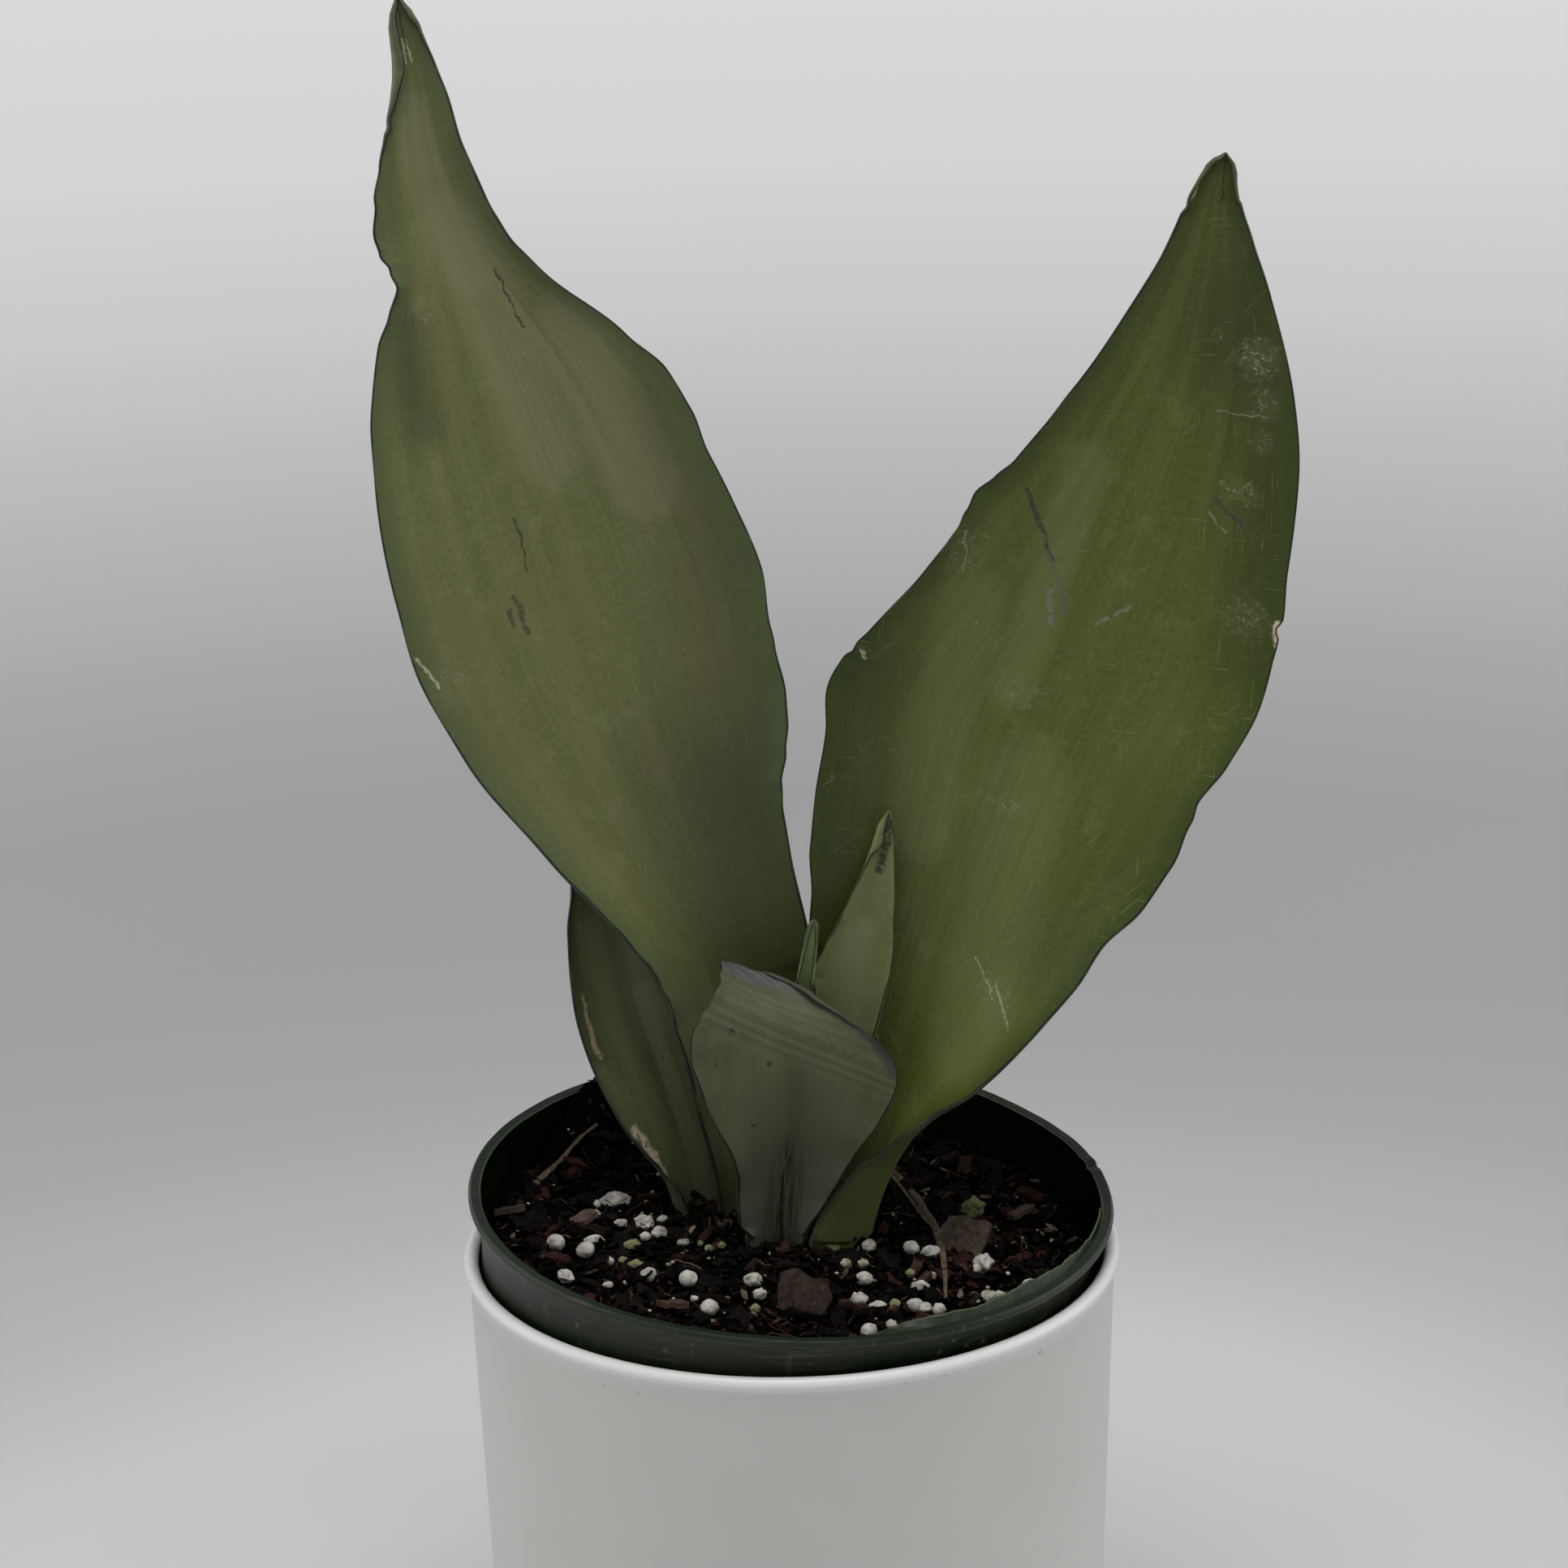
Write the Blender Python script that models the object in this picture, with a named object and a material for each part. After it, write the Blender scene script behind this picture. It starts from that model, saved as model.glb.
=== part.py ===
# Potted snake plant: six leaves and their rhizome in potting mix, in a plastic nursery pot
# that stands a little askew inside a smooth cover pot.
# Metres, +Z up. The origin is the centre of the cover pot's underside; -Y is the front.

import math

import bmesh
import bpy
from mathutils import Euler, Matrix, Vector, noise

MM = 0.001
GAP = 0.3 * MM  # clearance between pieces that touch

# Cover pot: smooth sheet wall with a rolled bead at the mouth
COVER_HEIGHT = 130 * MM
COVER_RADIUS = 76.4 * MM  # outer face of the wall at the mouth
COVER_TAPER = 4.0 * MM  # how much the radius shrinks down to the base
COVER_WALL = 1.2 * MM
COVER_FLOOR = 2.0 * MM
COVER_CORNER = 4.0 * MM
BEAD_RADIUS = 1.75 * MM

# Nursery pot: thin plastic, a tall band under the lip, drain holes in the floor
MOUTH_FIT = 1.4 * MM  # radial play of the band in the cover pot's mouth, taken up by the lean
LIP_RISE = 13.2 * MM  # lip's centre above the cover pot's bead
LIP_OVERHANG = 3.5 * MM
LIP_HEIGHT = 2.0 * MM
BAND_HEIGHT = 24 * MM
BAND_FLARE = 1.6 * MM  # the band widens this much from mouth level to the lip
BAND_STEP = 1.6 * MM
NURSERY_TAPER = 17 * MM
NURSERY_WALL = 1.0 * MM
NURSERY_CENTRE = (0.2 * MM, -0.6 * MM)
LEAN_BACK = math.radians(3.3)  # rear of the lip is higher
LEAN_LEFT = math.radians(3.1)  # left of the lip is higher
DRAIN_HOLES = 6
DRAIN_RADIUS = 4.5 * MM

# Potting mix
SOIL_DROP = 12 * MM  # surface below the lip
SOIL_MOUND = 2.5 * MM  # rise towards the stems
SOIL_LUMPS = 0.8 * MM
CLUMP_RISE = 16 * MM  # the heap of bark against the wall, rear left
CLUMP_SPREAD = 13 * MM
SEAT = 0.5 * MM  # how far a seat in the mix stands off its piece
SPREAD_EDGE = 0.9  # share of the mix's radius beyond which a bigger plant pushes nothing aside

# Plant
PLANT_HEIGHT = 288 * MM  # tallest leaf tip above the mix
STEM_THICKNESS = 4.2 * MM  # leaf at its base
BLADE_THICKNESS = 2.4 * MM  # leaf at its tip
MARGIN_SHARE = 0.4  # margin thickness as a share of the middle's
RHIZOME_SIZE = (31 * MM, 21 * MM, 10 * MM)  # half sizes
RHIZOME_SINK = 6 * MM  # how deep the leaf bases sit in the rhizome

ROUND_STEPS = 56

# What the sizes above fix
mouth_radius = COVER_RADIUS - COVER_WALL / 2 - BEAD_RADIUS
band_radius = mouth_radius - MOUTH_FIT
lip_radius = band_radius + LIP_OVERHANG
lean = Euler((LEAN_BACK, LEAN_LEFT, 0)).to_matrix()
lip_z = COVER_HEIGHT + LIP_RISE
base_radius = band_radius - NURSERY_TAPER
lean_angle = math.acos(lean[2][2])
foot_drop = base_radius * math.sin(lean_angle)
nursery_height = (lip_z - COVER_FLOOR - GAP - foot_drop) / math.cos(lean_angle)
soil_radius = band_radius - NURSERY_WALL - GAP
soil_z = lip_z - SOIL_DROP

# The tables below are drawn for a plant, a stem and a mix of these sizes
DRAWN_HEIGHT = 288 * MM
DRAWN_STEM = 4.2 * MM
DRAWN_MIX_RADIUS = 71.35 * MM
plant_scale = PLANT_HEIGHT / DRAWN_HEIGHT
litter_scale = soil_radius / DRAWN_MIX_RADIUS
extra_stem = STEM_THICKNESS - DRAWN_STEM

# Leaves. Each row is one section, from the base up, in millimetres and degrees:
# place of the middle (x, y, height above the mix), half width left and right,
# turn of the face from the front towards +X, tilt of the section (right end down), cup.
# A leaf close in front of another moves away from it by this much of any extra stem.
LEAVES = {
    "leaf_left_tall": {
        "colour": (0.115, 0.135, 0.060),
        "across": 8,
        "along": 28,
        "rows": [
            (-3, 21, -15, 13, 12, 38, -4, 7),
            (-4, 21, 3, 16, 13, 35, -6, 8),
            (-8, 20, 29, 13, 20, 30, -10, 9),
            (-18, 19, 61, 11, 25, 22, -14, 11),
            (-31, 22, 99, 27, 32, 15, -18, 12),
            (-43, 26, 134, 38, 42, 12, -18, 11),
            (-53, 31, 168, 39, 40, 10, -18, 10),
            (-63, 35, 199, 31, 32, 8, -18, 8),
            (-73, 40, 229, 14, 14, 6, -16, 6),
            (-79, 42, 251, 10, 10, 5, -12, 4),
            (-81, 44, 271, 4, 6, 5, -8, 2),
            (-83, 45, 288, 2, 2, 5, -5, 1),
        ],
    },
    "leaf_right_tall": {
        "colour": (0.085, 0.120, 0.045),
        "across": 8,
        "along": 28,
        "rows": [
            (14, 2, -15, 12, 9, -68, 14, 14),
            (16, 2, 3, 14, 10, -68, 16, 16),
            (23, 4, 25, 22, 12, -46, 20, 13),
            (33, 8, 53, 31, 25, -30, 22, 12),
            (45, 11, 84, 40, 34, -20, 23, 12),
            (56, 14, 115, 46, 43, -15, 22, 11),
            (69, 17, 142, 38, 45, -12, 22, 10),
            (82, 21, 169, 30, 38, -10, 22, 8),
            (93, 25, 197, 20, 29, -8, 20, 6),
            (99, 28, 222, 11, 16, -6, 16, 4),
            (102, 30, 240, 6, 5, -5, 14, 3),
            (104, 31, 250, 2, 2, -5, 14, 1),
        ],
    },
    "leaf_front_short": {
        "colour": (0.120, 0.135, 0.085),
        "across": 6,
        "along": 18,
        "rows": [
            (-3, -7, -13, 6, 5, 5, 0, 2),
            (-3, -8, 1, 7, 5, 5, 0, 3),
            (-2, -10, 15, 10, 10, 5, 0, 4),
            (0, -13, 32, 15, 17, 5, 3, 5),
            (1, -14, 47, 23, 24, 5, 8, 4),
            (1, -12, 57, 21, 20, 5, 12, 3),
            (-2, -8, 63, 15, 13, 5, 15, 2),
            (-8, -3, 67, 7, 8, 5, 20, 1),
            (-14, 1, 69, 1.5, 2, 5, 22, 0),
        ],
    },
    "leaf_left_low": {
        "colour": (0.100, 0.120, 0.065),
        "across": 6,
        "along": 20,
        "rows": [
            (-20, 13, -13, 5, 4, 20, 0, 3),
            (-22, 13, 1, 6, 5, 20, -8, 4),
            (-25, 14, 16, 8, 6, 20, -12, 6),
            (-30, 16, 34, 14, 8, 18, -14, 7),
            (-36, 20, 53, 15, 7, 15, -14, 7),
            (-40, 25, 74, 12, 9, 12, -10, 6),
            (-42, 30, 91, 8, 7, 10, -4, 4),
            (-41, 34, 105, 2, 2, 10, 4, 1),
        ],
    },
    "leaf_centre_young": {
        "away": (-0.4, -1.1),
        "colour": (0.135, 0.165, 0.085),
        "across": 4,
        "along": 14,
        "rows": [
            (6, 1, -10, 3, 3, -20, 0, 1),
            (10, 4, 29, 5, 5, -20, 5, 2),
            (15, 6, 52, 9, 8, -15, 8, 4),
            (18, 7, 68, 9, 8, -10, 10, 3),
            (21, 8, 81, 5, 5, -10, 12, 2),
            (25, 10, 102, 1, 1, -10, 12, 0),
        ],
    },
    "leaf_centre_spear": {
        "away": (-1.7, -1.8),
        "colour": (0.150, 0.180, 0.080),
        "across": 4,
        "along": 10,
        "rows": [
            (0, 1, -10, 2, 2, 0, 0, 0),
            (3, 2, 45, 3, 3, 0, 0, 1),
            (5, 2, 65, 2, 2, 0, 4, 1),
            (7, 3, 78, 0.8, 0.8, 0, 8, 0),
        ],
    },
}

# Pieces on the mix. Places are shares of the mix's radius; sizes are whole pieces' in millimetres,
# which keep their proportion to the mix.
PERLITE = [
    (-0.77, -0.14, 4.5), (-0.67, -0.19, 4.2), (-0.58, 0.18, 4.8), (-0.48, 0.00, 4.2),
    (-0.43, -0.07, 4.0), (-0.46, -0.35, 3.8), (-0.33, -0.39, 4.5), (-0.26, -0.57, 4.4),
    (-0.12, -0.39, 3.8), (-0.73, -0.38, 3.4), (0.26, -0.14, 3.6), (0.24, -0.37, 3.8),
    (0.22, -0.50, 4.2), (0.25, -0.68, 3.8), (0.40, -0.51, 3.8), (0.40, -0.13, 3.8),
    (0.63, -0.22, 4.9), (0.78, -0.34, 3.7), (0.64, -0.44, 3.6), (0.62, 0.19, 5.4),
]
BARK = {
    "bark_plate": {"at": (0.58, -0.03), "size": (10, 8, 2.0), "turn": -20, "colour": (0.16, 0.11, 0.07)},
    "bark_block": {"at": (0.04, -0.47), "size": (10, 8, 3.5), "turn": 8, "colour": (0.09, 0.055, 0.035)},
    "bark_dark": {"at": (-0.93, 0.07), "size": (8, 4, 2.5), "turn": -15, "colour": (0.035, 0.022, 0.016)},
    "bark_reddish": {"at": (-0.38, -0.56), "size": (7, 4, 2.5), "turn": 25, "colour": (0.085, 0.040, 0.030)},
    "bark_brown": {"at": (-0.68, 0.03), "size": (6, 4, 2.5), "turn": 35, "colour": (0.060, 0.035, 0.025)},
    "bark_stick": {"at": (0.78, 0.17), "size": (11, 2.4, 1.8), "turn": 4, "colour": (0.13, 0.09, 0.055)},
}
STRANDS = {
    "straw_long": {
        "radius": 0.7,
        "colour": (0.24, 0.17, 0.09),
        "route": [(0.35, 0.45), (0.42, 0.27), (0.47, 0.10), (0.50, -0.14), (0.50, -0.46)],
    },
    "root_fibre": {
        "radius": 0.7,
        "colour": (0.20, 0.12, 0.06),
        "route": [(-0.86, 0.30), (-0.80, 0.41), (-0.73, 0.49), (-0.66, 0.53)],
    },
}


def clear_scene():
    for old in list(bpy.data.objects):
        bpy.data.objects.remove(old, do_unlink=True)


def principled(name, colour, roughness):
    material = bpy.data.materials.new(name)
    material.use_nodes = True
    shader = material.node_tree.nodes["Principled BSDF"]
    shader.inputs["Base Color"].default_value = (*colour, 1.0)
    shader.inputs["Roughness"].default_value = roughness
    shader.inputs["Metallic"].default_value = 0.0
    return material


def add_object(name, bm, colour, roughness=0.6, smooth=True, parent=None):
    bmesh.ops.recalc_face_normals(bm, faces=bm.faces)
    mesh = bpy.data.meshes.new(name)
    bm.to_mesh(mesh)
    bm.free()
    if smooth:
        mesh.shade_smooth()
        mesh.set_sharp_from_angle(angle=math.radians(40))
    mesh.materials.append(principled(name, colour, roughness))
    obj = bpy.data.objects.new(name, mesh)
    bpy.context.scene.collection.objects.link(obj)
    obj.parent = parent
    return obj


def add_boolean(target, cutter):
    cut = target.modifiers.new("cut_" + cutter.name, "BOOLEAN")
    cut.operation = "DIFFERENCE"
    cut.solver = "EXACT"
    cut.object = cutter


def hide_helper(obj):
    obj.hide_render = True
    obj.display_type = "WIRE"


def evaluated_bmesh(obj):
    """The object's finished mesh in world space."""
    bpy.context.view_layer.update()
    graph = bpy.context.evaluated_depsgraph_get()
    ready = obj.evaluated_get(graph)
    bm = bmesh.new()
    bm.from_mesh(ready.to_mesh())
    bm.transform(obj.matrix_world)
    ready.to_mesh_clear()
    return bm


def add_seat(piece, grow):
    """A helper that stands off a piece all round, to cut the piece's seat with."""
    bm = evaluated_bmesh(piece)
    bmesh.ops.remove_doubles(bm, verts=bm.verts, dist=0.000001)
    bm.normal_update()
    for vert in bm.verts:
        vert.co += vert.normal * grow
    seat = add_object(piece.name + "_seat", bm, (0.8, 0.2, 0.2), smooth=False)
    hide_helper(seat)
    return seat


def spin_profile(profile):
    """A body of revolution about Z; the profile starts and ends on the axis."""
    bm = bmesh.new()
    verts = [bm.verts.new((radius, 0, z)) for radius, z in profile]
    edges = [bm.edges.new(pair) for pair in zip(verts, verts[1:])]
    bmesh.ops.spin(
        bm, geom=verts + edges, cent=(0, 0, 0), axis=(0, 0, 1),
        angle=math.tau, steps=ROUND_STEPS, use_merge=True,
    )
    bmesh.ops.remove_doubles(bm, verts=bm.verts, dist=0.000001)
    return bm


def arc(centre, radius, start, end, steps):
    """Points on an arc in the profile's plane, angles in degrees."""
    points = []
    for step in range(steps + 1):
        angle = math.radians(start + (end - start) * step / steps)
        points.append((centre[0] + radius * math.cos(angle), centre[1] + radius * math.sin(angle)))
    return points


def add_cover_pot():
    foot = COVER_RADIUS - COVER_TAPER
    corner = (foot - COVER_CORNER, COVER_CORNER)
    inner_corner = COVER_CORNER - COVER_WALL
    bead = (COVER_RADIUS - COVER_WALL / 2, COVER_HEIGHT - BEAD_RADIUS)
    half_wall = math.degrees(math.asin(COVER_WALL / 2 / BEAD_RADIUS))
    floor_top = COVER_FLOOR
    profile = [(0, 0)]
    profile += arc(corner, COVER_CORNER, -90, 0, 4)
    profile += arc(bead, BEAD_RADIUS, -90 + half_wall, 270 - half_wall, 9)
    profile += arc((corner[0], floor_top + inner_corner), inner_corner, 0, -90, 3)
    profile.append((0, floor_top))
    return add_object("cover_pot", spin_profile(profile), (0.78, 0.77, 0.74), roughness=0.35)


def nursery_inside():
    """The inner profile from the lip down to the floor, in the nursery pot's own frame."""
    lip_inner = band_radius + BAND_FLARE - NURSERY_WALL
    floor_z = -nursery_height + NURSERY_WALL * 1.5
    return [
        (lip_inner, 0),
        (lip_inner, -LIP_HEIGHT),
        (band_radius - NURSERY_WALL, -LIP_RISE * 0.6),
        (band_radius - NURSERY_WALL, -BAND_HEIGHT),
        (band_radius - BAND_STEP - NURSERY_WALL, -BAND_HEIGHT - BAND_STEP),
        (base_radius - NURSERY_WALL, floor_z),
    ]


def add_nursery_pot(frame):
    profile = [
        (0, -nursery_height),
        (base_radius, -nursery_height),
        (band_radius - BAND_STEP, -BAND_HEIGHT - BAND_STEP),
        (band_radius, -BAND_HEIGHT),
        (band_radius, -LIP_RISE * 0.6),
        (band_radius + BAND_FLARE, -LIP_HEIGHT * 1.2),
        (lip_radius, -LIP_HEIGHT),
        (lip_radius, -LIP_HEIGHT * 0.2),
        (lip_radius - LIP_HEIGHT * 0.2, 0),
    ]
    inside = nursery_inside()
    profile += inside
    profile.append((0, inside[-1][1]))
    pot = add_object("nursery_pot", spin_profile(profile), (0.018, 0.040, 0.022), 0.45, parent=frame)
    add_boolean(pot, add_drain_cutters(frame))
    return pot


def add_drain_cutters(frame):
    ring = base_radius * 0.7
    depth = NURSERY_WALL * 8
    bm = bmesh.new()
    for hole in range(DRAIN_HOLES):
        angle = math.tau * hole / DRAIN_HOLES
        place = (ring * math.cos(angle), ring * math.sin(angle), -nursery_height)
        bmesh.ops.create_cone(
            bm, cap_ends=True, segments=16, radius1=DRAIN_RADIUS, radius2=DRAIN_RADIUS,
            depth=depth, matrix=Matrix.Translation(place),
        )
    cutters = add_object("drain_cutters", bm, (0.8, 0.2, 0.2), parent=frame)
    hide_helper(cutters)
    return cutters


def soil_height(x, y):
    """Height of the mix in the nursery pot's frame."""
    reach = math.hypot(x, y) / soil_radius
    clump = Vector((x + 0.66 * soil_radius, y - 0.68 * soil_radius)).length / CLUMP_SPREAD
    lumps = noise.noise(Vector((x, y, 0)) / (7 * MM)) + 0.5 * noise.noise(Vector((x, y, MM)) / (3 * MM))
    rise = SOIL_MOUND * math.exp(-((reach * 2.2) ** 2)) + CLUMP_RISE * math.exp(-clump ** 2)
    return -SOIL_DROP + rise + SOIL_LUMPS * lumps


def add_potting_mix(frame):
    inside = [(radius - GAP, z) for radius, z in nursery_inside()]
    wall = [point for point in inside if point[1] < -SOIL_DROP - 1 * MM]
    wall[-1] = (wall[-1][0], wall[-1][1] + GAP)
    top_rings = 9
    profile = [(0, wall[-1][1])]
    profile += reversed(wall)
    profile += [(soil_radius * (1 - ring / top_rings), -SOIL_DROP) for ring in range(top_rings + 1)]
    bm = spin_profile(profile)
    for vert in bm.verts:
        if vert.co.z > -SOIL_DROP - 0.1 * MM:
            vert.co.z = soil_height(vert.co.x, vert.co.y)
    return add_object("potting_mix", bm, (0.022, 0.016, 0.013), 0.95, smooth=False, parent=frame)


def spline_row(rows, place):
    """The row at a place along the list, on a Catmull-Rom spline through the rows."""
    last = len(rows) - 1
    index = min(int(place), last - 1)
    t = place - index
    b, c = rows[index], rows[index + 1]
    a = rows[index - 1] if index > 0 else [2 * p - q for p, q in zip(b, c)]
    d = rows[index + 2] if index + 2 <= last else [2 * q - p for p, q in zip(b, c)]
    smooth = []
    for p, q, r, s in zip(a, b, c, d):
        smooth.append(
            0.5 * (2 * q + (r - p) * t + (2 * p - 5 * q + 4 * r - s) * t * t
                   + (3 * q - p - 3 * r + s) * t * t * t)
        )
    return smooth


def leaf_point(rows, across, along):
    """A point on a leaf's upper face: across runs from -1 to 1, along from 0 to 1."""
    place = along * (len(rows) - 1)
    x, y, z, left, right, turn, tilt, cup = spline_row(rows, place)
    before = spline_row(rows, max(place - 0.05, 0))
    after = spline_row(rows, min(place + 0.05, len(rows) - 1))
    rise = (Vector(after[:3]) - Vector(before[:3])).normalized()
    turn = math.radians(turn)
    tilt = math.radians(tilt)
    side = Vector((math.cos(turn) * math.cos(tilt), math.sin(turn) * math.cos(tilt), -math.sin(tilt)))
    facing = side.cross(rise).normalized()
    half_width = left if across < 0 else right
    point = Vector((x, y, z)) + side * half_width * across + facing * cup * abs(across) ** 1.8
    return Vector((0, 0, soil_z)) + point * MM * plant_scale


def add_leaf(name, spec):
    aside = Vector((*spec.get("away", (0, 0)), 0)) * extra_stem
    bm = bmesh.new()
    bmesh.ops.create_grid(bm, x_segments=spec["across"], y_segments=spec["along"], size=1)
    weights = []
    for vert in bm.verts:
        across = vert.co.x
        along = (vert.co.y + 1) / 2
        middle = STEM_THICKNESS + (BLADE_THICKNESS - STEM_THICKNESS) * min(along * 2, 1)
        margin = 1 - (1 - MARGIN_SHARE) * abs(across) ** 2
        weights.append(middle * margin / STEM_THICKNESS)
        vert.co = leaf_point(spec["rows"], across, along) + aside
    mesh = bpy.data.meshes.new(name)
    bm.to_mesh(mesh)
    bm.free()
    mesh.shade_smooth()
    mesh.materials.append(principled(name, spec["colour"], 0.5))
    leaf = bpy.data.objects.new(name, mesh)
    bpy.context.scene.collection.objects.link(leaf)
    group = leaf.vertex_groups.new(name="thickness")
    for index, weight in enumerate(weights):
        group.add([index], weight, "REPLACE")
    shell = leaf.modifiers.new("thickness", "SOLIDIFY")
    shell.thickness = STEM_THICKNESS
    shell.offset = -1
    shell.vertex_group = group.name
    return leaf


def add_rhizome():
    """The creeping stem under the mix that the leaves grow from."""
    sizes = Vector(RHIZOME_SIZE) * plant_scale
    base_z = soil_z - 15 * MM * plant_scale
    centre = Vector((-2 * MM, 9 * MM, 0)) * plant_scale
    centre.z = base_z + RHIZOME_SINK - sizes.z
    bm = bmesh.new()
    bmesh.ops.create_icosphere(bm, subdivisions=2, radius=1)
    for vert in bm.verts:
        knobs = 1 + 0.10 * math.sin(5 * vert.co.x) * math.cos(4 * vert.co.y)
        vert.co = centre + Vector([part * size * knobs for part, size in zip(vert.co, sizes)])
    return add_object("rhizome", bm, (0.30, 0.17, 0.06), 0.7)


def on_soil(share, lift):
    """A place on the mix, in the nursery pot's frame. A bigger plant pushes it outwards."""
    spread = 1 + (plant_scale - 1) * max(0, 1 - math.hypot(*share) / SPREAD_EDGE)
    x = share[0] * spread * soil_radius
    y = share[1] * spread * soil_radius
    return Vector((x, y, soil_height(x, y) + lift))


def add_perlite(number, x, y, size, frame):
    """An expanded, lumpy white grain sunk by a third in the mix."""
    radius = size / 2 * MM * litter_scale
    centre = on_soil((x, y), radius * 0.35)
    stretch = Vector((1.12, 0.9, 0.88))
    bm = bmesh.new()
    bmesh.ops.create_icosphere(bm, subdivisions=2, radius=radius)
    for vert in bm.verts:
        bump = 1 + 0.16 * noise.noise(vert.co / radius * 1.3 + Vector((number * 3.7, 0, 0)))
        vert.co = centre + vert.co * stretch * bump
    return add_object("perlite_%02d" % number, bm, (0.62, 0.60, 0.53), 0.8, parent=frame)


def add_bark(name, spec, frame):
    """A flat chip of bark with worn corners, half sunk in the mix."""
    size = Vector(spec["size"]) * MM * litter_scale
    centre = on_soil(spec["at"], size.z * 0.25)
    turn = Matrix.Rotation(math.radians(spec["turn"]), 4, "Z")
    bm = bmesh.new()
    bmesh.ops.create_cube(bm, size=1)
    bmesh.ops.subdivide_edges(bm, edges=bm.edges, cuts=2, use_grid_fill=True)
    for vert in bm.verts:
        wear = 1 + 0.22 * noise.noise(vert.co * 3 + Vector((size.x * 900, 0, 0)))
        vert.co = centre + turn @ (vert.co * size * wear)
    return add_object(name, bm, spec["colour"], 0.9, parent=frame)


def add_strand(name, spec, frame):
    """A dry stalk or root lying on the mix."""
    radius = spec["radius"] * MM * litter_scale
    curve = bpy.data.curves.new(name, "CURVE")
    curve.dimensions = "3D"
    curve.bevel_depth = radius
    curve.bevel_resolution = 1
    curve.use_fill_caps = True
    curve.resolution_u = 4
    spline = curve.splines.new("NURBS")
    spline.points.add(len(spec["route"]) - 1)
    for point, share in zip(spline.points, spec["route"]):
        point.co = (*on_soil(share, radius), 1)
    spline.use_endpoint_u = True
    spline.order_u = 3
    curve.materials.append(principled(name, spec["colour"], 0.8))
    strand = bpy.data.objects.new(name, curve)
    bpy.context.scene.collection.objects.link(strand)
    strand.parent = frame
    return strand


def main():
    clear_scene()
    add_cover_pot()
    frame = bpy.data.objects.new("nursery_frame", None)
    bpy.context.scene.collection.objects.link(frame)
    frame.location = (*NURSERY_CENTRE, lip_z)
    frame.rotation_euler = (LEAN_BACK, LEAN_LEFT, 0)
    add_nursery_pot(frame)
    mix = add_potting_mix(frame)
    leaves = [add_leaf(name, spec) for name, spec in LEAVES.items()]
    rhizome = add_rhizome()
    add_boolean(mix, add_seat(rhizome, SEAT))
    for leaf in leaves:
        seat = add_seat(leaf, SEAT)
        add_boolean(rhizome, seat)
        add_boolean(mix, seat)
    loose = [add_perlite(index + 1, *grain, frame) for index, grain in enumerate(PERLITE)]
    loose += [add_bark(name, spec, frame) for name, spec in BARK.items()]
    loose += [add_strand(name, spec, frame) for name, spec in STRANDS.items()]
    for piece in loose:
        add_boolean(mix, add_seat(piece, SEAT))


main()
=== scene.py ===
import math
import random

import bmesh
import bpy
from mathutils import Euler, Matrix, Vector, noise


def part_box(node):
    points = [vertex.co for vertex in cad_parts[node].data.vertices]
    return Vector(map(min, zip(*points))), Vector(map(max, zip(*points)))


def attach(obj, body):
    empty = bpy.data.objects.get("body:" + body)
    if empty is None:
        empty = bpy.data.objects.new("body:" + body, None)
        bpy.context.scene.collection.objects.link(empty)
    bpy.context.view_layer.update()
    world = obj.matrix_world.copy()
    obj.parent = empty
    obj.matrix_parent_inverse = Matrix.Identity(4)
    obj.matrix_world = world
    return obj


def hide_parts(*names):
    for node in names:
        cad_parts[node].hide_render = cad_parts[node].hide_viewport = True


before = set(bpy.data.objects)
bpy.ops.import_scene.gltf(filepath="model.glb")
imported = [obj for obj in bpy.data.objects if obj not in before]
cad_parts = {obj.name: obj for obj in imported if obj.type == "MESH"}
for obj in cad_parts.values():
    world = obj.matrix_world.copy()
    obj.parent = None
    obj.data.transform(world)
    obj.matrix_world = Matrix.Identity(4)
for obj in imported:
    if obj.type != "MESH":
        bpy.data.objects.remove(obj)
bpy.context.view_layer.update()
mm = 0.001
noise.seed_set(1)  # vector noise starts from the clock without it
print("frame loaded,", len(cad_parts), "nodes")


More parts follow.
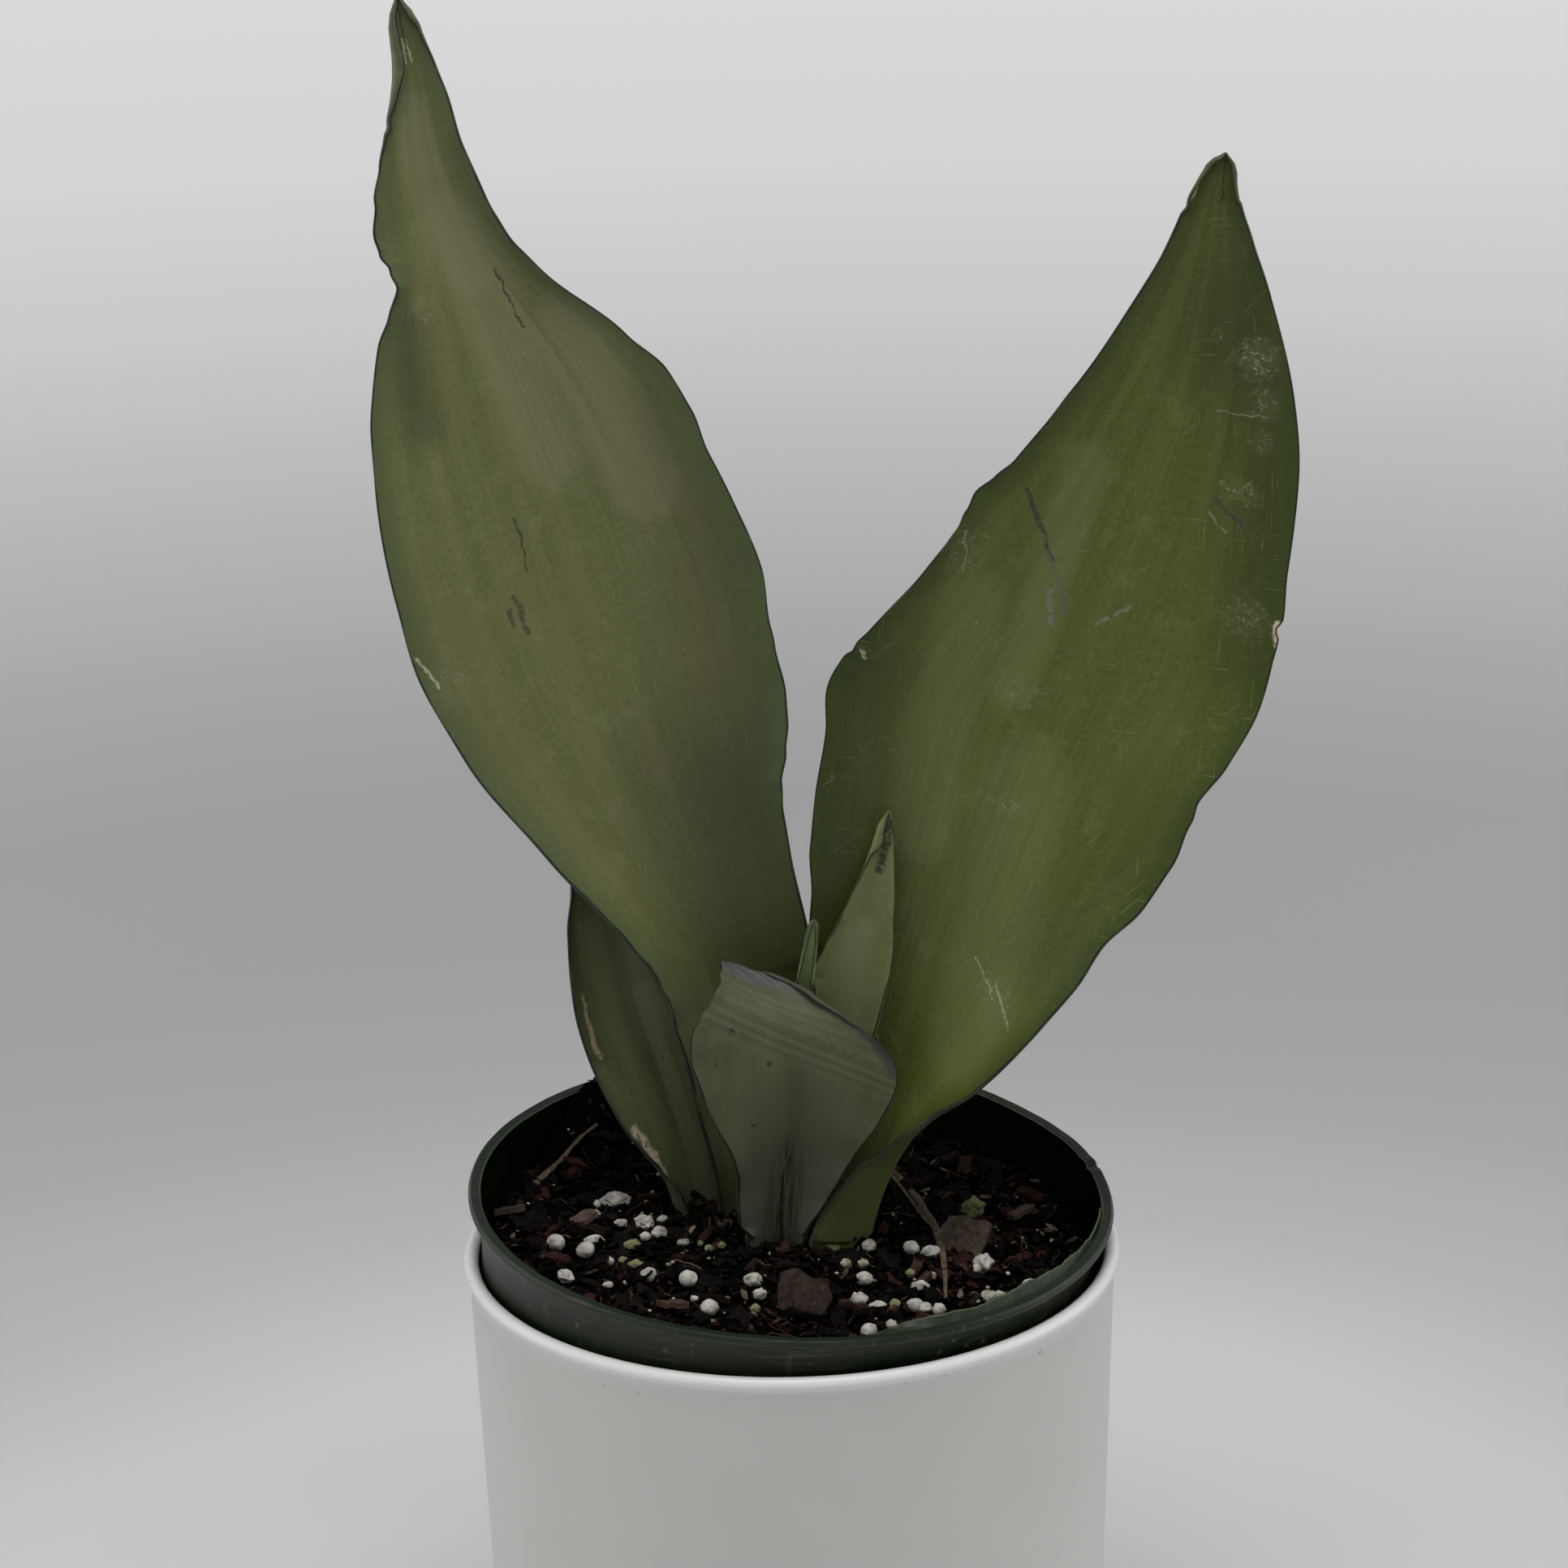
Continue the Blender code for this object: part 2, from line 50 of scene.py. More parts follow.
# wraps one socket, so that masks are written as plain sums
class Wire:
    def __init__(self, tree, socket=None):
        self.tree = tree
        self.socket = socket

    def node(self, kind, settings=None, inputs=None, out=0):
        made = self.tree.nodes.new(kind)
        for name, value in (settings or {}).items():
            if name == "stops":
                ramp = made.color_ramp
                while len(ramp.elements) < len(value):
                    ramp.elements.new(0.5)
                for stop, (place, colour) in zip(ramp.elements, value):
                    stop.position = place
                    stop.color = (*colour, 1)
            else:
                setattr(made, name, value)
        for name, value in (inputs or {}).items():
            self.feed(made.inputs[name], value)
        return Wire(self.tree, made.outputs[out])

    def feed(self, socket, value):
        if isinstance(value, Wire):
            self.tree.links.new(value.socket, socket)
        elif isinstance(value, tuple) and len(socket.default_value) == 4:
            socket.default_value = (*value, 1)
        else:
            socket.default_value = value

    def maths(self, operation, *values):
        return self.node("ShaderNodeMath", {"operation": operation}, dict(enumerate(values)))

    def __add__(self, other):
        return self.maths("ADD", self, other)

    def __radd__(self, other):
        return self.maths("ADD", other, self)

    def __sub__(self, other):
        return self.maths("SUBTRACT", self, other)

    def __rsub__(self, other):
        return self.maths("SUBTRACT", other, self)

    def __mul__(self, other):
        return self.maths("MULTIPLY", self, other)

    def __rmul__(self, other):
        return self.maths("MULTIPLY", other, self)

    def __truediv__(self, other):
        return self.maths("DIVIDE", self, other)

    # 0 below low, 1 above high, with an eased step between
    def step(self, low, high):
        settings = {"interpolation_type": "SMOOTHSTEP"}
        return self.node("ShaderNodeMapRange", settings, {"Value": self, "From Min": low, "From Max": high})

    def most(self, other):
        return self.maths("MAXIMUM", self, other)

    def size(self):
        return self.maths("ABSOLUTE", self)

    def scaled(self, stretch):
        return self.node("ShaderNodeVectorMath", {"operation": "MULTIPLY"}, {0: self, 1: stretch})

    def moved(self, by):
        return self.node("ShaderNodeVectorMath", {"operation": "ADD"}, {0: self, 1: by})

    def noise(self, scale, detail=3.0, rough=0.55, twist=0.0):
        inputs = {"Vector": self, "Scale": scale, "Detail": detail, "Roughness": rough, "Distortion": twist}
        return self.node("ShaderNodeTexNoise", None, inputs)

    def cells(self, scale):
        return self.node("ShaderNodeTexVoronoi", None, {"Vector": self, "Scale": scale})

    def parts(self):
        split = self.node("ShaderNodeSeparateXYZ", None, {"Vector": self}).socket.node
        return [Wire(self.tree, socket) for socket in split.outputs]

    def mix(self, low, high):
        inputs = {"Factor": self, 6: low, 7: high}
        return self.node("ShaderNodeMix", {"data_type": "RGBA"}, inputs, out=2)

    # how close this point is to a straight mark, 1 on it and 0 at its edge
    def mark(self, start, end, width, core=0.35):
        a, b = Vector((*start, 0)), Vector((*end, 0))
        along = b - a
        away = self.moved(tuple(-a))
        dot = {"operation": "DOT_PRODUCT"}
        reach = self.node("ShaderNodeVectorMath", dot, {0: away, 1: tuple(along)}, out=1)
        share = self.node("ShaderNodeMath", {"operation": "MULTIPLY", "use_clamp": True},
                          {0: reach, 1: 1 / max(along.length_squared, 1e-6)})
        foot = self.node("ShaderNodeVectorMath", {"operation": "SCALE"}, {0: tuple(along), "Scale": share})
        gap = self.node("ShaderNodeVectorMath", {"operation": "DISTANCE"}, {0: away, 1: foot}, out=1)
        return gap.step(width, width * core)


# a new material: its start wire, and a function that feeds its shader
def newFinish(name, roughness=0.5, **constants):
    material = bpy.data.materials.new(name)
    material.use_nodes = True
    tree = material.node_tree
    shader = tree.nodes["Principled BSDF"]
    shader.inputs["Roughness"].default_value = roughness
    for key, value in constants.items():
        shader.inputs[key.replace("_", " ")].default_value = value
    start = Wire(tree)

    def wear(colour=None, rough=None, bump=None, strength=0.3, depth=0.001):
        if colour is not None:
            start.feed(shader.inputs["Base Color"], colour)
        if rough is not None:
            start.feed(shader.inputs["Roughness"], rough)
        if bump is not None:
            inputs = {"Height": bump, "Strength": strength, "Distance": depth}
            start.feed(shader.inputs["Normal"], start.node("ShaderNodeBump", None, inputs))

    return material, start, wear


def objectPlace(start):
    return start.node("ShaderNodeTexCoord", None, None, out=3)


def uvPlace(start, name):
    return start.node("ShaderNodeUVMap", {"uv_map": name})


def attribute(start, name):
    return start.node("ShaderNodeAttribute", {"attribute_name": name}, None, out=2)


# turns a bmesh into a named piece; nodes are the plain bodies that it stands in for
def finishPiece(name, bm, materials, nodes, smooth=True, sharp=40):
    mesh = bpy.data.meshes.new(name)
    bm.to_mesh(mesh)
    bm.free()
    if smooth:
        mesh.shade_smooth()
        mesh.set_sharp_from_angle(angle=math.radians(sharp))
    for material in materials:
        mesh.materials.append(material)
    piece = bpy.data.objects.new(name, mesh)
    bpy.context.scene.collection.objects.link(piece)
    if nodes:
        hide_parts(*nodes)
    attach(piece, "root")
    return piece


# a bmesh whose corners can each hold a tone
def tonedMesh():
    bm = bmesh.new()
    return bm, bm.verts.layers.float.new("tone")


def boxOf(points):
    low = Vector([min(p[axis] for p in points) for axis in range(3)])
    high = Vector([max(p[axis] for p in points) for axis in range(3)])
    return low, high


# both pots, in millimetres and degrees; the nursery pot leans in the cover pot
pots = {
    "coverRadius": 76.4, "wall": 1.2, "bead": 1.75, "corner": 4.0, "taper": 4.0, "floor": 2.0,
    "footHollow": 0.6, "footRing": 8.0, "lipAboveCover": 13.2,
    "leanBack": 3.3, "leanLeft": 3.1, "centre": (0.2, -0.6),
    "lip": 76.15, "lipHeight": 2.0, "band": 72.65, "bandHeight": 24.0, "bandFlare": 1.6, "bandStep": 1.6,
    "nurseryWall": 1.0, "foot": 55.65, "depth": 136.9,
}
# surface of the mix: depth below the lip, middle mound, and the heap at the rear left
mixShape = {"drop": 12.0, "mound": 2.5, "lumps": 0.8, "clump": 16.0, "clumpSpread": 13.0, "radius": 71.35}

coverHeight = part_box("cover_pot")[1].z / mm
lipLevel = round(coverHeight) + pots["lipAboveCover"]
potLean = Euler((math.radians(pots["leanBack"]), math.radians(pots["leanLeft"]), 0))
potFrame = Matrix.Translation((pots["centre"][0] * mm, pots["centre"][1] * mm, lipLevel * mm))
potFrame = potFrame @ potLean.to_matrix().to_4x4()  # from the lip's own level to the scene
mixLevel = lipLevel - mixShape["drop"]


def arcPoints(centre, radius, start, end, steps):
    points = []
    for step in range(steps + 1):
        angle = math.radians(start + (end - start) * step / steps)
        points.append((centre[0] + radius * math.cos(angle), centre[1] + radius * math.sin(angle)))
    return points


# turns a profile of (radius, height) in millimetres about the upright axis
def spinProfile(profile, steps):
    bm = bmesh.new()
    verts = [bm.verts.new((radius * mm, 0, z * mm)) for radius, z in profile]
    edges = [bm.edges.new(pair) for pair in zip(verts, verts[1:])]
    bmesh.ops.spin(bm, geom=verts + edges, cent=(0, 0, 0), axis=(0, 0, 1),
                   angle=math.tau, steps=steps, use_merge=True)
    bmesh.ops.remove_doubles(bm, verts=bm.verts, dist=0.000001)
    bmesh.ops.recalc_face_normals(bm, faces=bm.faces)
    return bm


coverLook = {
    "colour": (0.66, 0.65, 0.63), "shadeColour": (0.635, 0.625, 0.605), "speckColour": (0.16, 0.13, 0.10),
    # the rim colour is a painted highlight: the white turns lighter towards the rim
    "rimHighlightColour": (0.84, 0.835, 0.82), "roughness": 0.34, "steps": 192,
    # crumbs of soil on the rim: heading, millimetres below the top, width in metres
    "dirt": [(-121, 2.6, 0.003), (-71, 3.0, 0.003), (-64, 3.2, 0.002), (-43, 6.0, 0.004)],
}


def makeCoverPot():
    height, radius = coverHeight, pots["coverRadius"]
    foot = radius - pots["taper"]
    corner = (foot - pots["corner"], pots["corner"])
    inner = pots["corner"] - pots["wall"]
    bead = (radius - pots["wall"] / 2, height - pots["bead"])
    half = math.degrees(math.asin(pots["wall"] / 2 / pots["bead"]))
    wallTop = arcPoints(bead, pots["bead"], -90 + half, 270 - half, 20)
    ring, hollow = foot - pots["footRing"], pots["footHollow"]
    profile = [(0, hollow), (ring - 1, hollow), (ring, 0)]
    profile += arcPoints(corner, pots["corner"], -90, 0, 8)
    tall = wallTop[0][1] - pots["corner"]
    shares = [step / 12 for step in range(1, 12)]
    profile += [(foot + pots["taper"] * share, pots["corner"] + tall * share) for share in shares]
    profile += wallTop
    profile += arcPoints((corner[0], pots["floor"] + inner), inner, 0, -90, 6)
    profile.append((0, pots["floor"]))
    bm = spinProfile(profile, coverLook["steps"])
    material, start, wear = newFinish("coverGlaze", coverLook["roughness"])
    place = objectPlace(start)
    cloud = place.noise(14, 4, 0.6)
    grain = place.noise(900, 2, 0.5)
    z = place.parts()[2]
    nearRim = z.step(height * mm - 0.012, height * mm - 0.001)
    # painted highlight: the wall lightens towards the rim bead, as if lit from above
    rimHighlightMask = z.step(height * mm - 0.0075, height * mm - 0.0005)
    specks = (0.16 - place.cells(420)).step(0.0, 0.05) * place.noise(60, 2, 0.5).step(0.56, 0.66) * nearRim
    dust = (0.12 - place.cells(150)).step(0.0, 0.04) * place.noise(23, 2, 0.5).step(0.60, 0.66)
    colour = cloud.step(0.35, 0.7).mix(coverLook["shadeColour"], coverLook["colour"])
    colour = rimHighlightMask.mix(colour, coverLook["rimHighlightColour"])
    for heading, below, wide in coverLook["dirt"]:
        turn = math.radians(heading)
        spot = (radius * mm * math.cos(turn), radius * mm * math.sin(turn), (height - below) * mm)
        away = start.node("ShaderNodeVectorMath", {"operation": "DISTANCE"}, {0: place, 1: spot}, out=1)
        smudge = away.step(wide * 0.30, 0.0) * place.noise(1300, 2, 0.6).step(0.46, 0.56)
        colour = smudge.mix(colour, coverLook["speckColour"])
    colour = (specks.most(dust * 0.25) * 0.8).mix(colour, coverLook["speckColour"])
    wear(colour, cloud * 0.06 + 0.33, grain * 0.3 + cloud * 0.5, 0.04, 0.0004)
    finishPiece("coverPot", bm, [material], ["cover_pot"])


nurseryLook = {
    "colour": (0.008, 0.014, 0.006), "worn": (0.020, 0.028, 0.013), "dust": (0.11, 0.12, 0.085),
    # inside colours: painted shade, a much darker copy of the plastic for the inner wall
    "inside": (0.0006, 0.0016, 0.0006), "shadedInsideWorn": (0.0030, 0.0064, 0.0026),
    # top: painted shade, a darker plain colour for the faces that turn upward
    "edge": (0.060, 0.085, 0.042), "top": (0.006, 0.013, 0.006),
    "roughness": 0.42, "steps": 240, "wobble": 0.35, "dentHeading": 14, "dentSpread": 3.0, "dentHeight": 0.40,
    # torn strip inside the lip: heading in degrees, how far in it reaches, how far its free edge rises
    "flap": [
        (-77, 0.2, -0.3), (-74, 1.8, -0.8), (-70, 2.9, 0.0), (-63, 2.2, 0.9), (-56, 1.8, 0.8),
        (-48, 2.3, 1.2), (-41, 2.0, 1.6), (-34, 1.5, 0.9), (-27, 1.2, 1.0), (-20, 0.9, 0.6), (-12, 0.5, 0.4),
        (-4, 0.2, -0.3),
    ],
    "flapColour": (0.024, 0.037, 0.013), "flapEdge": (0.070, 0.092, 0.042),
}


# the inner side of the nursery pot, from the lip down, below the lip's own level
def nurseryInside():
    lipInner = pots["band"] + pots["bandFlare"] - pots["nurseryWall"]
    wall = pots["nurseryWall"]
    return [
        (lipInner + 0.5, 0.0), (lipInner, -0.5), (lipInner, -pots["lipHeight"]),
        (pots["band"] - wall, -7.9), (pots["band"] - wall, -pots["bandHeight"]),
        (pots["band"] - pots["bandStep"] - wall, -pots["bandHeight"] - pots["bandStep"]),
        (pots["foot"] - wall, -pots["depth"] + wall * 1.5),
    ]


def makeNurseryPot():
    lip, tall = pots["lip"], pots["lipHeight"]
    profile = [
        (0, -pots["depth"]), (pots["foot"], -pots["depth"]),
        (pots["band"] - pots["bandStep"], -pots["bandHeight"] - pots["bandStep"]),
        (pots["band"], -pots["bandHeight"]), (pots["band"], -7.9),
        (pots["band"] + pots["bandFlare"] * 0.5, -4.6),
        (pots["band"] + pots["bandFlare"], -tall * 1.25), (lip - 0.5, -tall), (lip - 0.1, -tall * 0.8),
        (lip, -tall * 0.5), (lip - 0.2, -tall * 0.2), (lip - 0.6, 0.0),
    ]
    profile += nurseryInside()
    profile.append((0, -pots["depth"] + pots["nurseryWall"] * 1.5))
    bm = spinProfile(profile, nurseryLook["steps"])
    lipEdge = bm.verts.layers.float.new("lipEdge")
    for vert in bm.verts:
        out = math.hypot(vert.co.x, vert.co.y) / mm
        vert[lipEdge] = 1.0 if vert.co.z > -0.6 * mm and out < lip - 2.5 else 0.0
    for vert in bm.verts:  # the lip isn't perfectly round or level
        if vert.co.z > -3 * mm:
            around = math.atan2(vert.co.y, vert.co.x)
            spot = Vector((math.cos(around), math.sin(around), 0))
            drift = noise.noise(spot * 2.6) * nurseryLook["wobble"] * mm
            fine = noise.noise(spot * 14 + Vector((3, 0, 0))) * 0.14 * mm
            out = Vector((spot.x, spot.y, 0))
            heading = math.degrees(around)
            near = math.exp(-((heading - nurseryLook["dentHeading"]) / nurseryLook["dentSpread"]) ** 2)
            dent = nurseryLook["dentHeight"] * near * math.sin(heading * 1.3)
            vert.co += out * (drift * 0.6 + dent * 0.5 * mm) + Vector((0, 0, drift + fine + dent * mm))
    bm.transform(potFrame)
    material, start, wear = newFinish("nurseryPlastic", nurseryLook["roughness"], Specular_IOR_Level=0.35)
    place = objectPlace(start)
    cloud = place.noise(35, 5, 0.6)
    scuff = place.scaled((60, 60, 900)).noise(1.0, 3, 0.6)
    drips = place.scaled((420, 420, 60)).noise(1.0, 3, 0.6)
    dots = (0.20 - place.cells(230)).step(0, 0.10) * place.noise(90, 2, 0.5).step(0.46, 0.60)
    facingUp = start.node("ShaderNodeNewGeometry", None, None, out=1).parts()[2]
    colour = cloud.step(0.3, 0.75).mix(nurseryLook["colour"], nurseryLook["worn"])
    colour = (scuff.step(0.56, 0.70) * 0.30).mix(colour, nurseryLook["dust"])
    colour = (drips.step(0.62, 0.72) * 0.25).mix(colour, nurseryLook["dust"])
    colour = (dots * 0.6).mix(colour, nurseryLook["dust"])
    # painted shade: faces that turn upward, such as the lip's top, take the darker plain top colour and lose
    # their dust
    colour = facingUp.step(0.75, 0.95).mix(colour, nurseryLook["top"])
    worn = attribute(start, "lipEdge").step(0.4, 0.9) * scuff.step(0.30, 0.50)
    colour = worn.mix(colour, nurseryLook["edge"])
    wear(colour, cloud * 0.25 + 0.30, cloud * 0.6 + scuff * 0.4, 0.12, 0.0008)
    # painted shade: the inner wall is a darker copy of the plastic, standing in for the shadow inside the pot
    inner, start, wear = newFinish("nurseryInside", 0.9, Specular_IOR_Level=0.0)
    cloud = objectPlace(start).noise(60, 4, 0.6)
    colour = cloud.step(0.3, 0.75).mix(nurseryLook["inside"], nurseryLook["shadedInsideWorn"])
    wear(colour, cloud * 0.2 + 0.4, cloud, 0.1, 0.0006)
    for face in bm.faces:  # the inside of the wall takes the second material
        centre = potFrame.inverted() @ face.calc_center_median()
        outward = Vector((centre.x, centre.y, 0))
        turned = potFrame.to_3x3().inverted() @ face.normal
        if turned.dot(outward) < -0.2 * outward.length and centre.z < -1.0 * mm:
            face.material_index = 1
    finishPiece("nurseryPot", bm, [material, inner], ["nursery_pot"])


# a thin torn strip of the lip, curled in over the mix
def makeLipFlap():
    bm = bmesh.new()
    tall, wide, rows = 8, 150, nurseryLook["flap"]
    free = bm.verts.layers.float.new("free")
    bmesh.ops.create_grid(bm, x_segments=wide, y_segments=tall, size=1)
    inner = pots["band"] + pots["bandFlare"] - pots["nurseryWall"] - 0.15
    for vert in bm.verts:
        heading, reach, rise = splineRow(rows, (vert.co.x + 1) / 2 * (len(rows) - 1))
        share = (vert.co.y + 1) / 2
        ragged = 1 + 0.55 * noise.noise(Vector((heading * 0.16, 0, 3)))
        ragged += 0.14 * noise.noise(Vector((heading * 0.6, 0, 8)))
        out = inner - reach * ragged * share
        crease = 0.25 * noise.noise(Vector((heading * 0.35, share * 2, 1)))
        z = -0.9 + (rise * ragged + 0.9) * share ** 1.5 + crease
        turn = math.radians(heading)
        vert.co = Vector((out * math.cos(turn), out * math.sin(turn), z)) * mm
        vert[free] = share
    bm.transform(potFrame)
    material, start, wear = newFinish("lipFlapSkin", 0.5, Specular_IOR_Level=0.3)
    place = objectPlace(start)
    cloud = place.noise(160, 4, 0.6)
    edge = (attribute(start, "free") + cloud * 0.1).step(0.90, 1.02)
    colour = cloud.step(0.3, 0.7).mix(nurseryLook["colour"], nurseryLook["flapColour"])
    wear(edge.mix(colour, nurseryLook["flapEdge"]), cloud * 0.2 + 0.35, cloud, 0.3, 0.0006)
    flap = finishPiece("lipFlap", bm, [material], [], sharp=180)
    shell = flap.modifiers.new("thickness", "SOLIDIFY")
    shell.thickness = 0.35 * mm
    shell.offset = 0


mixLook = {
    "black": (0.0012, 0.0010, 0.0009), "peat": (0.0050, 0.0036, 0.0028), "brown": (0.013, 0.008, 0.006),
    "rings": 84, "steps": 240,
}


# height of the mix below the lip's level; fine adds the small lumps
def mixHeight(x, y, fine=True):
    radius = mixShape["radius"]
    reach = math.hypot(x, y) / radius
    clump = math.hypot(x + 0.66 * radius, y - 0.68 * radius) / mixShape["clumpSpread"]
    lumps = noise.noise(Vector((x, y, 0)) / 7) + 0.5 * noise.noise(Vector((x, y, 1)) / 3)
    rise = mixShape["mound"] * math.exp(-((reach * 2.2) ** 2)) + mixShape["clump"] * math.exp(-clump ** 2)
    level = -mixShape["drop"] + rise + mixShape["lumps"] * lumps
    if fine:
        level += 1.5 * noise.noise(Vector((x, y, 5)) / 2.6) + 0.6 * noise.noise(Vector((x, y, 9)) / 0.9) - 0.5
    return level


def makeMix():
    inside = [(radius - 0.3, z) for radius, z in nurseryInside()]
    wall = [point for point in inside if point[1] < -mixShape["drop"] - 2]
    wall[-1] = (wall[-1][0], wall[-1][1] + 0.3)
    profile = [(0, wall[-1][1])] + list(reversed(wall))
    rings = mixLook["rings"]
    profile += [(mixShape["radius"] * (1 - ring / rings), -mixShape["drop"]) for ring in range(rings + 1)]
    bm = spinProfile(profile, mixLook["steps"])
    for vert in bm.verts:
        if vert.co.z > (-mixShape["drop"] - 0.1) * mm:
            vert.co.z = mixHeight(vert.co.x / mm, vert.co.y / mm) * mm
    bm.transform(potFrame)
    material, start, wear = newFinish("pottingMix", 0.95, Specular_IOR_Level=0.0)
    place = objectPlace(start)
    lumps = place.noise(420, 5, 0.7)
    patch = place.noise(90, 3, 0.6)
    colour = lumps.step(0.42, 0.68).mix(mixLook["black"], mixLook["peat"])
    colour = ((patch * lumps).step(0.30, 0.42)).mix(colour, mixLook["brown"])
    wear(colour, 0.95 - lumps * 0.15, lumps, 0.9, 0.0012)
    finishPiece("pottingMix", bm, [material], ["potting_mix"])


def onMix(x, y, lift=0.0):
    return potFrame @ (Vector((x, y, mixHeight(x, y) + lift)) * mm)


# a jagged lump, at the origin and about 1 across, as a mesh to copy
def lumpMesh(seed, rough, levels=1):
    bm = bmesh.new()
    bmesh.ops.create_icosphere(bm, subdivisions=levels, radius=0.5)
    for vert in bm.verts:
        vert.co *= 1 + rough * noise.noise(vert.co * 3.1 + Vector((seed * 5.3, 0, 0)))
        vert.co += noise.noise_vector(vert.co * 2.3 + Vector((0, seed * 3.7, 0))) * 0.16 * rough
    mesh = bpy.data.meshes.new("lump")
    bm.to_mesh(mesh)
    bm.free()
    return mesh


# a flat broken chip with square edges, at the origin and about 1 across
def chipMesh(seed):
    bm = bmesh.new()
    bmesh.ops.create_cube(bm, size=1)
    level = [e for e in bm.edges if abs(e.verts[0].co.z - e.verts[1].co.z) < 0.1]
    bmesh.ops.subdivide_edges(bm, edges=level, cuts=2, use_grid_fill=True)
    for vert in bm.verts:
        spot = Vector((vert.co.x, vert.co.y, 0))
        vert.co.x *= 1 + 0.75 * noise.noise(spot * 1.9 + Vector((seed * 4.1, 0, 0)))
        vert.co.y *= 1 + 0.75 * noise.noise(spot * 1.9 + Vector((0, seed * 6.7, 0)))
        vert.co.z += 0.9 * noise.noise(spot * 2.3 + Vector((0, 0, seed * 2.9)))
    mesh = bpy.data.meshes.new("chip")
    bm.to_mesh(mesh)
    bm.free()
    return mesh


# adds a copy of a lump and gives all its corners one tone
def dropLump(bm, mesh, tones, place, turn, size, tone):
    first = len(bm.verts)
    copy = mesh.copy()
    copy.transform(Matrix.Translation(place) @ turn.to_matrix().to_4x4() @ Matrix.Diagonal((*(size * mm), 1)))
    bm.from_mesh(copy)
    bpy.data.meshes.remove(copy)
    bm.verts.ensure_lookup_table()
    for index in range(first, len(bm.verts)):
        bm.verts[index][tones] = tone


litter = {
    "seed": 7, "crumbs": 3000, "shreds": 1300, "chips": 520, "roots": 110,
    "crumbSize": (0.6, 2.1), "shredLength": (1.8, 5.6), "chipLength": (2.8, 7.5),
    "rootTones": (0.55, 0.68, 0.8, 0.9), "leftShade": 0.09,
    # from wet peat to dry bark
    "tones": [
        (0.0, (0.0010, 0.0008, 0.0007)), (0.42, (0.0035, 0.0024, 0.0019)), (0.60, (0.013, 0.008, 0.006)),
        (0.70, (0.036, 0.011, 0.009)), (0.80, (0.044, 0.029, 0.020)), (0.91, (0.125, 0.095, 0.065)),
        (1.0, (0.260, 0.210, 0.135)),
    ],
}


def litterFinish():
    material, start, wear = newFinish("litterBits", 0.85, Specular_IOR_Level=0.08)
    place = objectPlace(start)
    leftSide = place.parts()[0].step(-0.015, -0.055)
    tone = attribute(start, "tone") - leftSide * litter["leftShade"]
    grain = place.noise(1500, 3, 0.6)
    streak = place.noise(420, 3, 0.6)
    mixed = tone + (streak - 0.5) * 0.22 + (grain - 0.5) * 0.16
    colour = start.node("ShaderNodeValToRGB", {"stops": litter["tones"]}, {"Fac": mixed})
    wear(colour, 0.9 - grain * 0.25, grain, 0.5, 0.0003)
    return material


